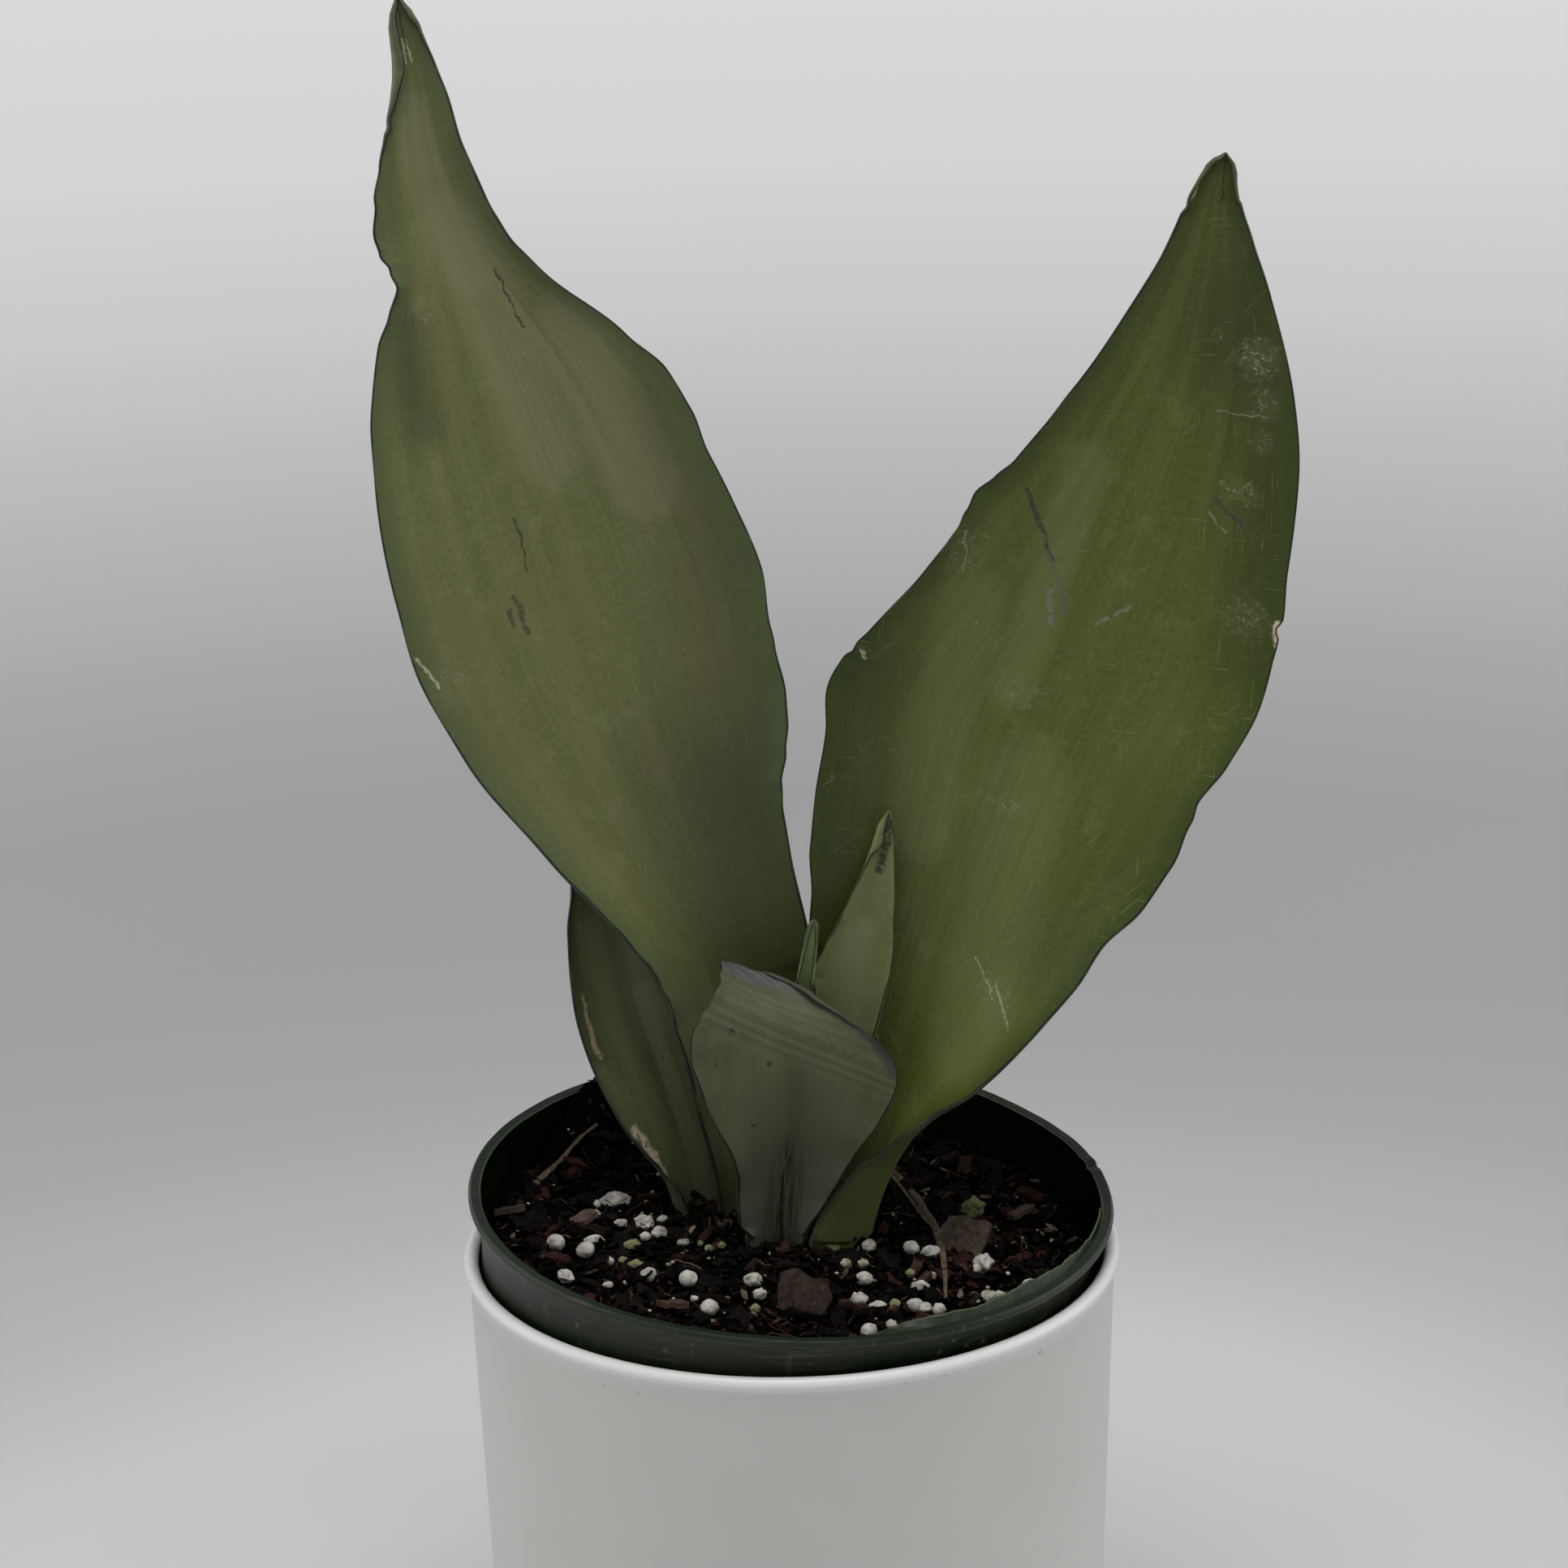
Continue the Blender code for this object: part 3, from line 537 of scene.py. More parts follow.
def makeLitter():
    dice = random.Random(litter["seed"])
    lumps = [lumpMesh(seed, 0.9) for seed in range(10)]
    material = litterFinish()
    reach = mixShape["radius"] - 1.0

    def spot(limit):
        around, out = dice.uniform(0, math.tau), limit * math.sqrt(dice.random())
        return out * math.cos(around), out * math.sin(around)

    def anyTurn():
        return Euler((dice.uniform(0, 6.28), dice.uniform(0, 6.28), dice.uniform(0, 6.28)))

    bm, tones = tonedMesh()
    for _ in range(litter["crumbs"]):
        x, y = spot(reach)
        size = dice.uniform(*litter["crumbSize"]) * dice.uniform(0.5, 1)
        shape = Vector((1, dice.uniform(0.6, 1), dice.uniform(0.5, 0.9))) * size
        tone = min(0.95, 0.12 + 0.62 * dice.random() ** 1.5)
        lump = dice.choice(lumps)
        dropLump(bm, lump, tones, onMix(x, y, size * dice.uniform(0, 0.3)), anyTurn(), shape, tone)
    finishPiece("peatCrumbs", bm, [material], [], smooth=False)

    bm, tones = tonedMesh()
    for _ in range(litter["shreds"]):
        x, y = spot(reach - 2)
        length = dice.uniform(*litter["shredLength"]) * (0.35 + 0.65 * dice.random())
        shape = Vector((length, length * dice.uniform(0.22, 0.6), dice.uniform(0.3, 0.8)))
        turn = Euler((dice.uniform(-0.6, 0.6), dice.uniform(-0.6, 0.6), dice.uniform(0, 6.28)))
        tone = 0.26 + 0.70 * dice.random() ** 1.7
        red = math.hypot(x - 52, y - 4) < 15 or (math.hypot(x + 50, y - 2) < 14 and dice.random() < 0.4)
        tone = 0.70 + dice.uniform(-0.05, 0.03) if red and dice.random() < 0.6 else tone
        dropLump(bm, dice.choice(lumps), tones, onMix(x, y, dice.uniform(0.2, 1.0)), turn, shape, tone)
    finishPiece("barkShreds", bm, [material], [], smooth=False)

    bm, tones = tonedMesh()
    plates = [chipMesh(seed) for seed in range(8)]
    for _ in range(litter["chips"]):
        x, y = spot(reach - 4)
        length = dice.uniform(*litter["chipLength"])
        shape = Vector((length, length * dice.uniform(0.35, 0.8), dice.uniform(0.5, 1.3)))
        turn = Euler((dice.uniform(-0.7, 0.7), dice.uniform(-0.5, 0.5), dice.uniform(0, 6.28)))
        tone = 0.22 + 0.58 * dice.random() ** 1.7
        dropLump(bm, dice.choice(plates), tones, onMix(x, y, dice.uniform(-0.3, 1.0)), turn, shape, tone)
    finishPiece("barkBits", bm, [material], [], smooth=False)

    bm, tones = tonedMesh()
    for _ in range(litter["roots"]):
        x, y = spot(reach - 8)
        heading, bow, length = dice.uniform(0, 6.28), dice.uniform(-0.9, 0.9), dice.uniform(4, 11)
        route = []
        for step in range(6):
            route.append(onMix(x, y, 0.6 + 0.5 * math.sin(step * 0.6)))
            x, y = x + math.cos(heading) * length / 5, y + math.sin(heading) * length / 5
            heading += bow / 5
            if math.hypot(x, y) > reach - 1:
                break
        if len(route) > 2:
            radii = [dice.uniform(0.10, 0.22)] * len(route)
            addStalk(bm, route, radii, 5, tones, dice.choice(litter["rootTones"]))
    finishPiece("fineRoots", bm, [material], [])


# a closed round stalk through the route, radii in millimetres
def addStalk(bm, route, radii, sides, tones=None, tone=0.0, flat=1.0):
    first = len(bm.verts)
    start = bmesh.ops.create_circle(bm, cap_ends=False, segments=sides, radius=1.0)
    ring = list(start["verts"])
    edges = list({e for v in ring for e in v.link_edges})
    bmesh.ops.contextual_create(bm, geom=edges)
    unit = [v.co.copy() for v in ring]
    up = potFrame.to_3x3() @ Vector((0, 0, 1))

    def placeRing(verts, index):
        ahead = route[min(index + 1, len(route) - 1)] - route[max(index - 1, 0)]
        way = ahead.normalized()
        side = way.cross(up).normalized()
        over = side.cross(way)
        for vert, base in zip(verts, unit):
            vert.co = route[index] + (side * base.x + over * base.y * flat) * radii[index] * mm

    placeRing(ring, 0)
    for index in range(1, len(route)):
        made = bmesh.ops.extrude_edge_only(bm, edges=edges)
        fresh = [item for item in made["geom"] if isinstance(item, bmesh.types.BMVert)]
        edges = [item for item in made["geom"] if isinstance(item, bmesh.types.BMEdge)]
        edges = [edge for edge in edges if all(v in fresh for v in edge.verts)]
        partner = {}
        for vert in fresh:
            for edge in vert.link_edges:
                other = edge.other_vert(vert)
                if other in ring:
                    partner[other] = vert
        ring = [partner[v] for v in ring]
        placeRing(ring, index)
    bmesh.ops.contextual_create(bm, geom=edges)
    bm.verts.ensure_lookup_table()
    fresh = bm.verts[first:]
    bmesh.ops.recalc_face_normals(bm, faces=list({face for v in fresh for face in v.link_faces}))
    if tones is not None:
        for vert in fresh:
            vert[tones] = tone


perliteLook = {
    "white": (0.53, 0.51, 0.455), "grey": (0.28, 0.265, 0.235),
    "algae": (0.155, 0.165, 0.045), "pit": (0.16, 0.15, 0.12),
    "seed": 5, "specks": 150, "speckSize": (0.5, 1.2),
    # number: share of algae, length, how knobbly
    "shapes": {
        1: (0.0, 1.05, 0.3), 2: (0.1, 1.15, 0.4), 3: (0.15, 1.45, 1.0), 4: (0.0, 1.2, 1.2),
        5: (0.1, 1.0, 0.8), 6: (0.1, 1.0, 0.7), 7: (0.0, 1.1, 0.25), 8: (0.0, 1.1, 0.3),
        9: (0.35, 1.1, 0.8), 10: (0.1, 1.4, 1.0), 11: (0.4, 1.0, 0.6), 12: (0.0, 1.1, 0.3),
        13: (0.1, 1.1, 0.9), 14: (0.0, 1.1, 0.35), 15: (0.0, 1.1, 0.3), 16: (0.0, 1.1, 0.3),
        17: (0.0, 1.25, 1.2), 18: (0.0, 1.1, 0.3), 19: (0.45, 1.1, 0.9), 20: (0.95, 1.15, 1.2),
    },
    # further small grains: x, y, size, share of algae
    "small": [
        (-46, -8, 3.0, 0.0), (-46, 12, 2.2, 0.0), (-46, 6, 2.2, 0.1), (-40, 1, 2.1, 0.1), (-30, 3, 2.8, 0.1),
        (-34, -6, 2.6, 0.0), (-37, -10, 2.8, 0.9), (-42, -18, 2.2, 0.2), (-39, -18, 2.2, 0.8),
        (-36, -20, 2.4, 0.8), (-22, -36, 1.9, 0.2), (-7, -34, 3.2, 0.2), (-42, -30, 1.7, 0.2),
        (17, -18, 2.8, 0.6), (13, -19, 2.6, 0.5), (20, -38, 2.8, 0.1), (23, -46, 2.6, 0.0),
        (24, -36, 2.8, 0.8), (30, -27, 3.0, 0.1), (28, -21, 2.2, 0.9), (33, -22, 2.2, 0.6),
        (33, -10, 3.4, 0.1), (31, -38, 3.0, 0.0), (34, -39, 3.2, 0.1), (48, -30, 2.4, 0.0),
        (-19, -12, 2.2, 0.7), (-16, -10, 1.9, 0.8), (-25, -9, 2.0, 0.2), (-8, -40, 2.4, 0.8),
        (-21, -10, 1.6, 0.9),
    ],
}


def perliteFinish():
    material, start, wear = newFinish("perliteSkin", 0.8, Specular_IOR_Level=0.3)
    place = objectPlace(start)
    green = attribute(start, "tone")
    cloud = place.noise(380, 4, 0.6)
    pits = place.cells(1500).step(0.30, 0.12) * place.noise(700, 2, 0.5).step(0.45, 0.6)
    colour = cloud.step(0.32, 0.62).mix(perliteLook["grey"], perliteLook["white"])
    moss = (place.noise(620, 4, 0.65) + green * 0.55 - 0.66).step(0.0, 0.22)
    colour = (moss * 0.85).mix(colour, perliteLook["algae"])
    colour = (pits * 0.6).mix(colour, perliteLook["pit"])
    wear(colour, 0.8, cloud - pits * 0.7, 0.5, 0.0004)
    return material


# one knobbly grain that rests in the mix, with its share of algae as its tone
def addGrain(bm, tones, x, y, size, green, length, knobs, seed, levels):
    centre = Vector((x, y, mixHeight(x, y, False) + size * 0.28))
    radius = size / 2
    made = bmesh.ops.create_icosphere(bm, subdivisions=levels, radius=1)
    heading = Matrix.Rotation(seed * 2.1, 3, "Z")
    for vert in made["verts"]:
        unit = vert.co.copy()
        far = 1 + knobs * 0.30 * noise.noise(unit * 1.7 + Vector((seed * 3.7, 0, 0)))
        far += knobs * 0.14 * noise.noise(unit * 4.0 + Vector((0, seed * 1.9, 0)))
        far += 0.03 * noise.noise(unit * 9.0 + Vector((0, 0, seed)))
        shape = Vector((unit.x * length, unit.y * 0.95, unit.z * 0.88)) * far * radius
        vert.co = potFrame @ ((centre + heading @ shape) * mm)
        vert[tones] = green


def makePerlite():
    material = perliteFinish()
    for number in range(1, 21):
        node = "perlite_%02d" % number
        low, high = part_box(node)
        local = potFrame.inverted() @ ((low + high) / 2) / mm
        size = (high - low).length / mm / 1.70
        green, length, knobs = perliteLook["shapes"][number]
        bm, tones = tonedMesh()
        addGrain(bm, tones, local.x, local.y, size, green, length, knobs, number, 4)
        finishPiece("perliteGrain%02d" % number, bm, [material], [node], sharp=180)
    bm, tones = tonedMesh()
    for index, (x, y, size, green) in enumerate(perliteLook["small"]):
        addGrain(bm, tones, x, y, size, green, 1.0 + 0.5 * (index % 3 == 0), 1.0, index + 30, 3)
    finishPiece("perliteSmall", bm, [material], [], sharp=180)
    dice = random.Random(perliteLook["seed"])
    bm, tones = tonedMesh()
    for index in range(perliteLook["specks"]):
        around, out = dice.uniform(0, math.tau), (mixShape["radius"] - 4) * math.sqrt(dice.random())
        size = dice.uniform(*perliteLook["speckSize"])
        x, y = out * math.cos(around), out * math.sin(around)
        addGrain(bm, tones, x, y, size, dice.random() * 0.9, 1.2, 1.0, index + 80, 1)
    finishPiece("perliteSpecks", bm, [material], [], sharp=180)


# tilt in degrees, millimetres up and to the front, share of the plain body's width, darkest and palest shade
barkLook = {
    "bark_plate": {
        "name": "barkPlate", "tilt": (52, 6), "rise": 2.2, "forward": 4.5, "stretch": 1.08,
        "shades": ((0.030, 0.022, 0.014), (0.095, 0.075, 0.050)),
    },
    "bark_block": {
        "name": "barkBlock", "tilt": (56, 5), "rise": 2.0, "forward": 5.0, "stretch": 1.15,
        "shades": ((0.010, 0.006, 0.004), (0.050, 0.032, 0.020)),
    },
    "bark_dark": {
        "name": "barkDark", "tilt": (-18, -8), "rise": 1.2, "forward": 0.0, "stretch": 0.86,
        "shades": ((0.026, 0.018, 0.015), (0.055, 0.038, 0.032)),
    },
    "bark_reddish": {
        "name": "barkReddish", "tilt": (-15, 10), "rise": 0.8, "forward": 0.0, "stretch": 0.86,
        "shades": ((0.048, 0.022, 0.016), (0.085, 0.045, 0.032)),
    },
    "bark_brown": {
        "name": "barkBrown", "tilt": (-12, -14), "rise": 1.0, "forward": 0.0, "stretch": 0.86,
        "shades": ((0.055, 0.030, 0.022), (0.125, 0.085, 0.060)),
    },
    "bark_stick": {
        "name": "barkStick", "tilt": (-5, 3), "rise": 0.8, "forward": 0.0, "stretch": 0.86,
        "shades": ((0.060, 0.042, 0.026), (0.105, 0.078, 0.048)),
    },
}


def makeBark():
    for seed, (node, look) in enumerate(barkLook.items()):
        low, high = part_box(node)
        size = (high - low) / mm
        bm = bmesh.new()
        bmesh.ops.create_cube(bm, size=1)
        bmesh.ops.subdivide_edges(bm, edges=bm.edges, cuts=11, use_grid_fill=True)
        tilt = Euler([math.radians(angle) for angle in (*look["tilt"], seed * 17 - 30)])
        stretch = look["stretch"]
        shape = Vector((size.x * stretch, size.y * stretch, max(size.z * 0.42, 1.1)))
        for vert in bm.verts:
            unit = vert.co.copy()
            corner = 1 - 0.10 * (abs(unit.x * 2) ** 4 + abs(unit.y * 2) ** 4)
            ragged = 1 + 0.26 * noise.noise(Vector((unit.x * 3.3, unit.y * 3.3, seed * 4)))
            unit.x *= corner * ragged
            unit.y *= corner * (1 + 0.26 * noise.noise(Vector((unit.x * 3.1, seed * 9, unit.y * 3.1))))
            unit.z += 0.30 * noise.noise(Vector((unit.x * 4, unit.y * 9, seed))) + 0.25 * unit.x * unit.y
            vert.co = Vector((unit.x * shape.x, unit.y * shape.y, unit.z * shape.z))
        bm.transform(tilt.to_matrix().to_4x4())
        centre = (low + high) / 2 + Vector((0, -look["forward"], look["rise"])) * mm
        bm.transform(Matrix.Translation(centre) @ Matrix.Scale(mm, 4))
        material, start, wear = newFinish(look["name"] + "Skin", 0.85, Specular_IOR_Level=0.25)
        place = objectPlace(start)
        grain = place.scaled((900, 260, 500)).noise(1.0, 5, 0.7)
        cloud = place.noise(330, 4, 0.6)
        colour = (grain * 0.6 + cloud * 0.5).step(0.38, 0.72).mix(*look["shades"])
        colour = (place.cells(700).step(0.22, 0.08) * 0.5).mix(colour, (0.012, 0.008, 0.006))
        wear(colour, 0.85, grain, 0.7, 0.0005)
        bmesh.ops.recalc_face_normals(bm, faces=bm.faces)
        finishPiece(look["name"], bm, [material], [node], sharp=50)


# routes over the mix, as x and y
strawLook = {
    "long": [(24.8, 33.5), (28.5, 24), (31, 16), (33.6, 6), (35.2, -3), (35.9, -12), (36, -22), (35.7, -33)],
    "second": [(23.6, 32), (26.4, 24), (29.4, 14), (31.8, 6), (34.6, -1)],
    "root": [(-61.4, 21.4), (-59, 26), (-56.5, 30), (-52, 35), (-47, 37.8)],
    "shades": ((0.045, 0.030, 0.016), (0.140, 0.102, 0.058)),
}


def makeStraws():
    material, start, wear = newFinish("strawSkin", 0.7, Specular_IOR_Level=0.3)
    place = objectPlace(start)
    fibre = place.scaled((1500, 300, 1500)).noise(1.0, 4, 0.65)
    colour = (fibre * 0.7 + place.noise(180, 3, 0.6) * 0.4).step(0.40, 0.72).mix(*strawLook["shades"])
    wear(colour, 0.7, fibre, 0.5, 0.0003)

    def smoothRoute(points, lift):
        rows = [(x, y, lift) for x, y in points]
        steps = (len(points) - 1) * 5
        line = [splineRow(rows, (len(rows) - 1) * k / steps) for k in range(steps + 1)]
        return [potFrame @ (Vector((x, y, mixHeight(x, y, False) + z)) * mm) for x, y, z in line]

    bm = bmesh.new()
    route = smoothRoute(strawLook["long"], 1.1)
    shares = [k / len(route) for k in range(len(route))]
    radii = [0.35 + 0.95 * math.sin(math.pi * min(1, 0.15 + 0.75 * share)) ** 1.2 for share in shares]
    addStalk(bm, route, [r * (1 - 0.45 * share) for r, share in zip(radii, shares)], 10, flat=0.45)
    route = smoothRoute(strawLook["second"], 1.7)
    addStalk(bm, route, [0.45] * len(route), 8, flat=0.6)
    finishPiece("strawLong", bm, [material], ["straw_long"])
    bm = bmesh.new()
    route = smoothRoute(strawLook["root"], 1.0)
    radii = [1.0 - 0.6 * k / len(route) + 0.12 * math.sin(k * 1.7) for k in range(len(route))]
    addStalk(bm, route, radii, 9, flat=0.7)
    finishPiece("rootFibre", bm, [material], ["root_fibre"])


# each row: place of the middle (x, y, height above the mix), half width left and right,
# turn of the face, tilt of the section, cup; millimetres and degrees.
# leftEdge and rightEdge: share of the length, how far the margin stands out there
leaves = {
    "leftTall": {
        "node": "leaf_left_tall", "slot": "leaf_tall", "across": 72, "along": 300, "tipThickness": 2.2,
        "leftEdge": [
            (0.0, 2.0), (0.10, 4.0), (0.20, 6.5), (0.25, 6.0), (0.272, 3.5), (0.30, 1.9), (0.32, 0.9),
            (0.34, 0.0), (0.38, -0.4), (0.42, 0.1), (0.45, -0.3), (0.49, 0.5), (0.53, -0.1), (0.61, -0.1),
            (0.65, 0.6), (0.685, 1.1), (0.70, -0.4), (0.715, -1.7), (0.73, 0.6), (0.745, 3.0), (0.76, 3.7),
            (0.79, 1.8), (0.82, -0.4), (0.845, -1.3), (0.853, -2.2), (0.862, -1.6), (0.88, -2.2),
            (0.91, -2.8), (0.925, -2.7), (0.94, -1.9), (0.97, -1.4), (1.0, -1.7),
        ],
        "rightEdge": [
            (0.26, -2.5), (0.31, -3.0), (0.34, -2.4), (0.355, -1.5), (0.37, 0.8), (0.385, 2.1), (0.40, 2.1),
            (0.43, 0.2), (0.445, -0.4), (0.475, 0.9), (0.52, 0.3), (0.55, 0.2), (0.58, 1.7), (0.61, 2.1),
            (0.64, -0.2), (0.685, -1.7), (0.715, -0.6), (0.745, 0.3), (0.775, 0.4), (0.82, -0.1), (0.87, 0.5),
            (0.91, 0.0), (0.955, -0.7), (0.97, -1.7), (1.0, -1.8),
        ],
        "rows": [
            (-3, 21, -15, 13, 12, 38, -4, 7), (-4, 21, 3, 16, 13, 35, -6, 8),
            (-8, 20, 29, 13, 20, 30, -10, 9), (-18, 19, 61, 11, 25, 22, -14, 11),
            (-31, 22, 99, 27, 32, 15, -18, 12), (-43, 26, 134, 38, 42, 12, -18, 11),
            (-53, 31, 168, 39, 40, 10, -18, 10), (-63, 35, 199, 31, 32, 8, -18, 8),
            (-73, 40, 229, 14, 14, 6, -16, 6), (-79, 42, 251, 10, 10, 5, -12, 4),
            (-81, 44, 271, 4, 6, 5, -8, 2), (-83, 45, 288, 2, 2, 5, -5, 1),
        ],
    },
    "rightTall": {
        "node": "leaf_right_tall", "slot": "leaf_tall", "across": 72, "along": 300, "tipThickness": 2.2,
        "leftEdge": [
            (0.28, -2.3), (0.31, -2.3), (0.34, -0.6), (0.37, -0.2), (0.415, -1.5), (0.445, 0.3),
            (0.468, -0.2), (0.474, -1.2), (0.48, -0.8), (0.49, -1.2), (0.52, -1.0), (0.565, -0.7),
            (0.58, -0.4), (0.595, 0.8), (0.61, 2.0), (0.625, 0.7), (0.64, -0.4), (0.67, -0.4), (0.70, 0.0),
            (0.775, 0.5), (0.835, 0.2), (0.875, 0.0), (0.887, -0.9), (0.90, -0.3), (0.925, -0.6),
            (0.955, -1.0), (1.0, -1.9),
        ],
        "rightEdge": [
            (0.08, -3.0), (0.12, -4.8), (0.16, -4.7), (0.19, -2.3), (0.22, -1.3), (0.25, 0.6), (0.31, 1.0),
            (0.34, 1.3), (0.37, 0.2), (0.40, 2.2), (0.43, 1.8), (0.46, -0.2), (0.475, -1.5), (0.505, -0.3),
            (0.55, 0.5), (0.58, 0.4), (0.596, 0.7), (0.602, -0.3), (0.61, 1.0), (0.64, 0.3), (0.70, 0.2),
            (0.745, -0.3), (0.85, -0.6), (0.88, 0.0), (0.905, 0.1), (0.91, -0.5), (0.94, -0.5), (0.985, -0.9),
            (1.0, -1.8),
        ],
        "rows": [
            (14, 2, -15, 12, 9, -68, 14, 14), (16, 2, 3, 14, 10, -68, 16, 16),
            (23, 4, 25, 22, 12, -46, 20, 13), (33, 8, 53, 31, 25, -30, 22, 12),
            (45, 11, 84, 40, 34, -20, 23, 12), (56, 14, 115, 46, 43, -15, 22, 11),
            (69, 17, 142, 38, 45, -12, 22, 10), (82, 21, 169, 30, 38, -10, 22, 8),
            (93, 25, 197, 20, 29, -8, 20, 6), (99, 28, 222, 11, 16, -6, 16, 4),
            (102, 30, 240, 6, 5, -5, 14, 3), (104, 31, 250, 2, 2, -5, 14, 1),
        ],
    },
    "frontShort": {
        "node": "leaf_front_short", "slot": "leaf_short", "across": 56, "along": 130, "tipThickness": 2.0,
        "leftEdge": [
            (0.16, -1.5), (0.20, 1.2), (0.25, 0.3), (0.31, -0.9), (0.34, -0.7), (0.39, 0.7), (0.42, 0.7),
            (0.475, -0.1), (0.52, 0.7), (0.58, 1.3), (0.61, 0.4), (0.655, -1.0), (0.74, -1.4), (0.80, -0.1),
            (0.88, 0.9), (0.97, 0.1), (1.0, -0.3),
        ],
        "rightEdge": [
            (0.16, -0.7), (0.25, 0.4), (0.33, 0.1), (0.40, 0.8), (0.49, 0.1), (0.57, 0.5), (0.60, -0.1),
            (0.64, -1.7), (0.68, -3.8), (0.74, -5.5), (0.86, -3.5), (0.94, -1.2), (1.0, -1.0),
        ],
        "rows": [
            (-3, -7, -13, 6, 5, 5, 0, 2), (-3, -8, 1, 7, 5, 5, 0, 3), (-2, -10, 15, 10, 10, 5, 0, 4),
            (0, -13, 32, 15, 17, 5, 3, 5), (1, -14, 47, 23, 24, 5, 8, 4), (1, -12, 57, 21, 20, 5, 12, 3),
            (-2, -8, 63, 15, 13, 5, 15, 2), (-8, -3, 67, 7, 8, 5, 20, 1), (-14, 1, 69, 1.5, 2, 5, 22, 0),
        ],
    },
    "leftLow": {
        "node": "leaf_left_low", "slot": "leaf_short", "across": 40, "along": 150, "tipThickness": 2.0,
        "leftEdge": [
            (0.0, -2.0), (0.10, -3.0), (0.17, -2.8), (0.205, -2.4), (0.235, -1.6), (0.28, 0.0), (0.325, 1.0),
            (0.37, 1.3), (0.43, 0.7), (0.55, 0.4), (0.70, 0.3), (0.76, -1.0), (1.0, -1.0),
        ],
        "rightEdge": [
            (0.13, 0.5), (0.28, 0.3), (0.34, 0.7), (0.40, 0.0), (0.45, 0.2), (0.50, 1.0), (0.55, 0.6),
            (0.58, -0.6), (0.61, -2.6), (0.66, -3.5), (0.85, -2.0), (1.0, -1.0),
        ],
        "rows": [
            (-20, 13, -13, 5, 4, 20, 0, 3), (-22, 13, 1, 6, 5, 20, -8, 4), (-25, 14, 16, 8, 6, 20, -12, 6),
            (-30, 16, 34, 14, 8, 18, -14, 7), (-36, 20, 53, 15, 7, 15, -14, 7),
            (-40, 25, 74, 12, 9, 12, -10, 6), (-42, 30, 91, 8, 7, 10, -4, 4), (-41, 34, 105, 2, 2, 10, 4, 1),
        ],
    },
    "centreYoung": {
        "node": "leaf_centre_young", "slot": "leaf_young", "across": 30, "along": 120, "tipThickness": 1.6,
        "leftEdge": [
            (0.50, 0.8), (0.55, 0.2), (0.60, -0.5), (0.655, -0.8), (0.70, -0.6), (0.76, 0.1), (0.80, 0.3),
            (0.865, -0.3), (0.895, -0.8), (0.925, -2.2), (0.955, -2.1), (1.0, -0.9),
        ],
        "rightEdge": [
            (0.38, -1.2), (0.49, -1.2), (0.58, -0.5), (0.70, -0.2), (0.84, 0.4), (0.94, 0.1), (1.0, -0.8),
        ],
        "rows": [
            (6, 1, -10, 3, 3, -20, 0, 1), (10, 4, 29, 5, 5, -20, 5, 2), (15, 6, 52, 9, 8, -15, 8, 4),
            (18, 7, 68, 9, 8, -10, 10, 3), (21, 8, 81, 5, 5, -10, 12, 2), (25, 10, 102, 1, 1, -10, 12, 0),
        ],
    },
    "centreSpear": {
        "node": "leaf_centre_spear", "slot": "leaf_young", "across": 16, "along": 90, "tipThickness": 1.2,
        "leftEdge": [(0.50, 0.2), (0.60, -0.1), (0.73, -0.6), (0.93, -0.7), (1.0, -0.7)],
        "rightEdge": [(0.60, -1.2), (0.73, -0.7), (0.85, -0.4), (1.0, -0.7)],
        "rows": [
            (0, 1, -10, 2, 2, 0, 0, 0), (3, 2, 45, 3, 3, 0, 0, 1), (5, 2, 65, 2, 2, 0, 4, 1),
            (7, 3, 78, 0.8, 0.8, 0, 8, 0),
        ],
    },
}
leafBody = {"stemThickness": 4.0, "edgeShare": 0.22, "ripple": 0.8, "measures": 200}


# a smooth curve through rows of numbers; place counts rows
def splineRow(rows, place):
    last = len(rows) - 1
    index = min(int(place), last - 1)
    t = place - index
    b, c = rows[index], rows[index + 1]
    a = rows[index - 1] if index > 0 else [2 * p - q for p, q in zip(b, c)]
    d = rows[index + 2] if index + 2 <= last else [2 * q - p for p, q in zip(b, c)]
    return [
        0.5 * (2 * q + (r - p) * t + (2 * p - 5 * q + 4 * r - s) * t * t
               + (3 * q - p - 3 * r + s) * t * t * t)
        for p, q, r, s in zip(a, b, c, d)
    ]


# a margin's offset at a place along the leaf, eased between its stations
def waveAt(stations, along):
    for (p, q), (r, s) in zip(stations, stations[1:]):
        if p <= along <= r:
            share = (along - p) / (r - p)
            return q + (s - q) * share * share * (3 - 2 * share)
    return 0.0


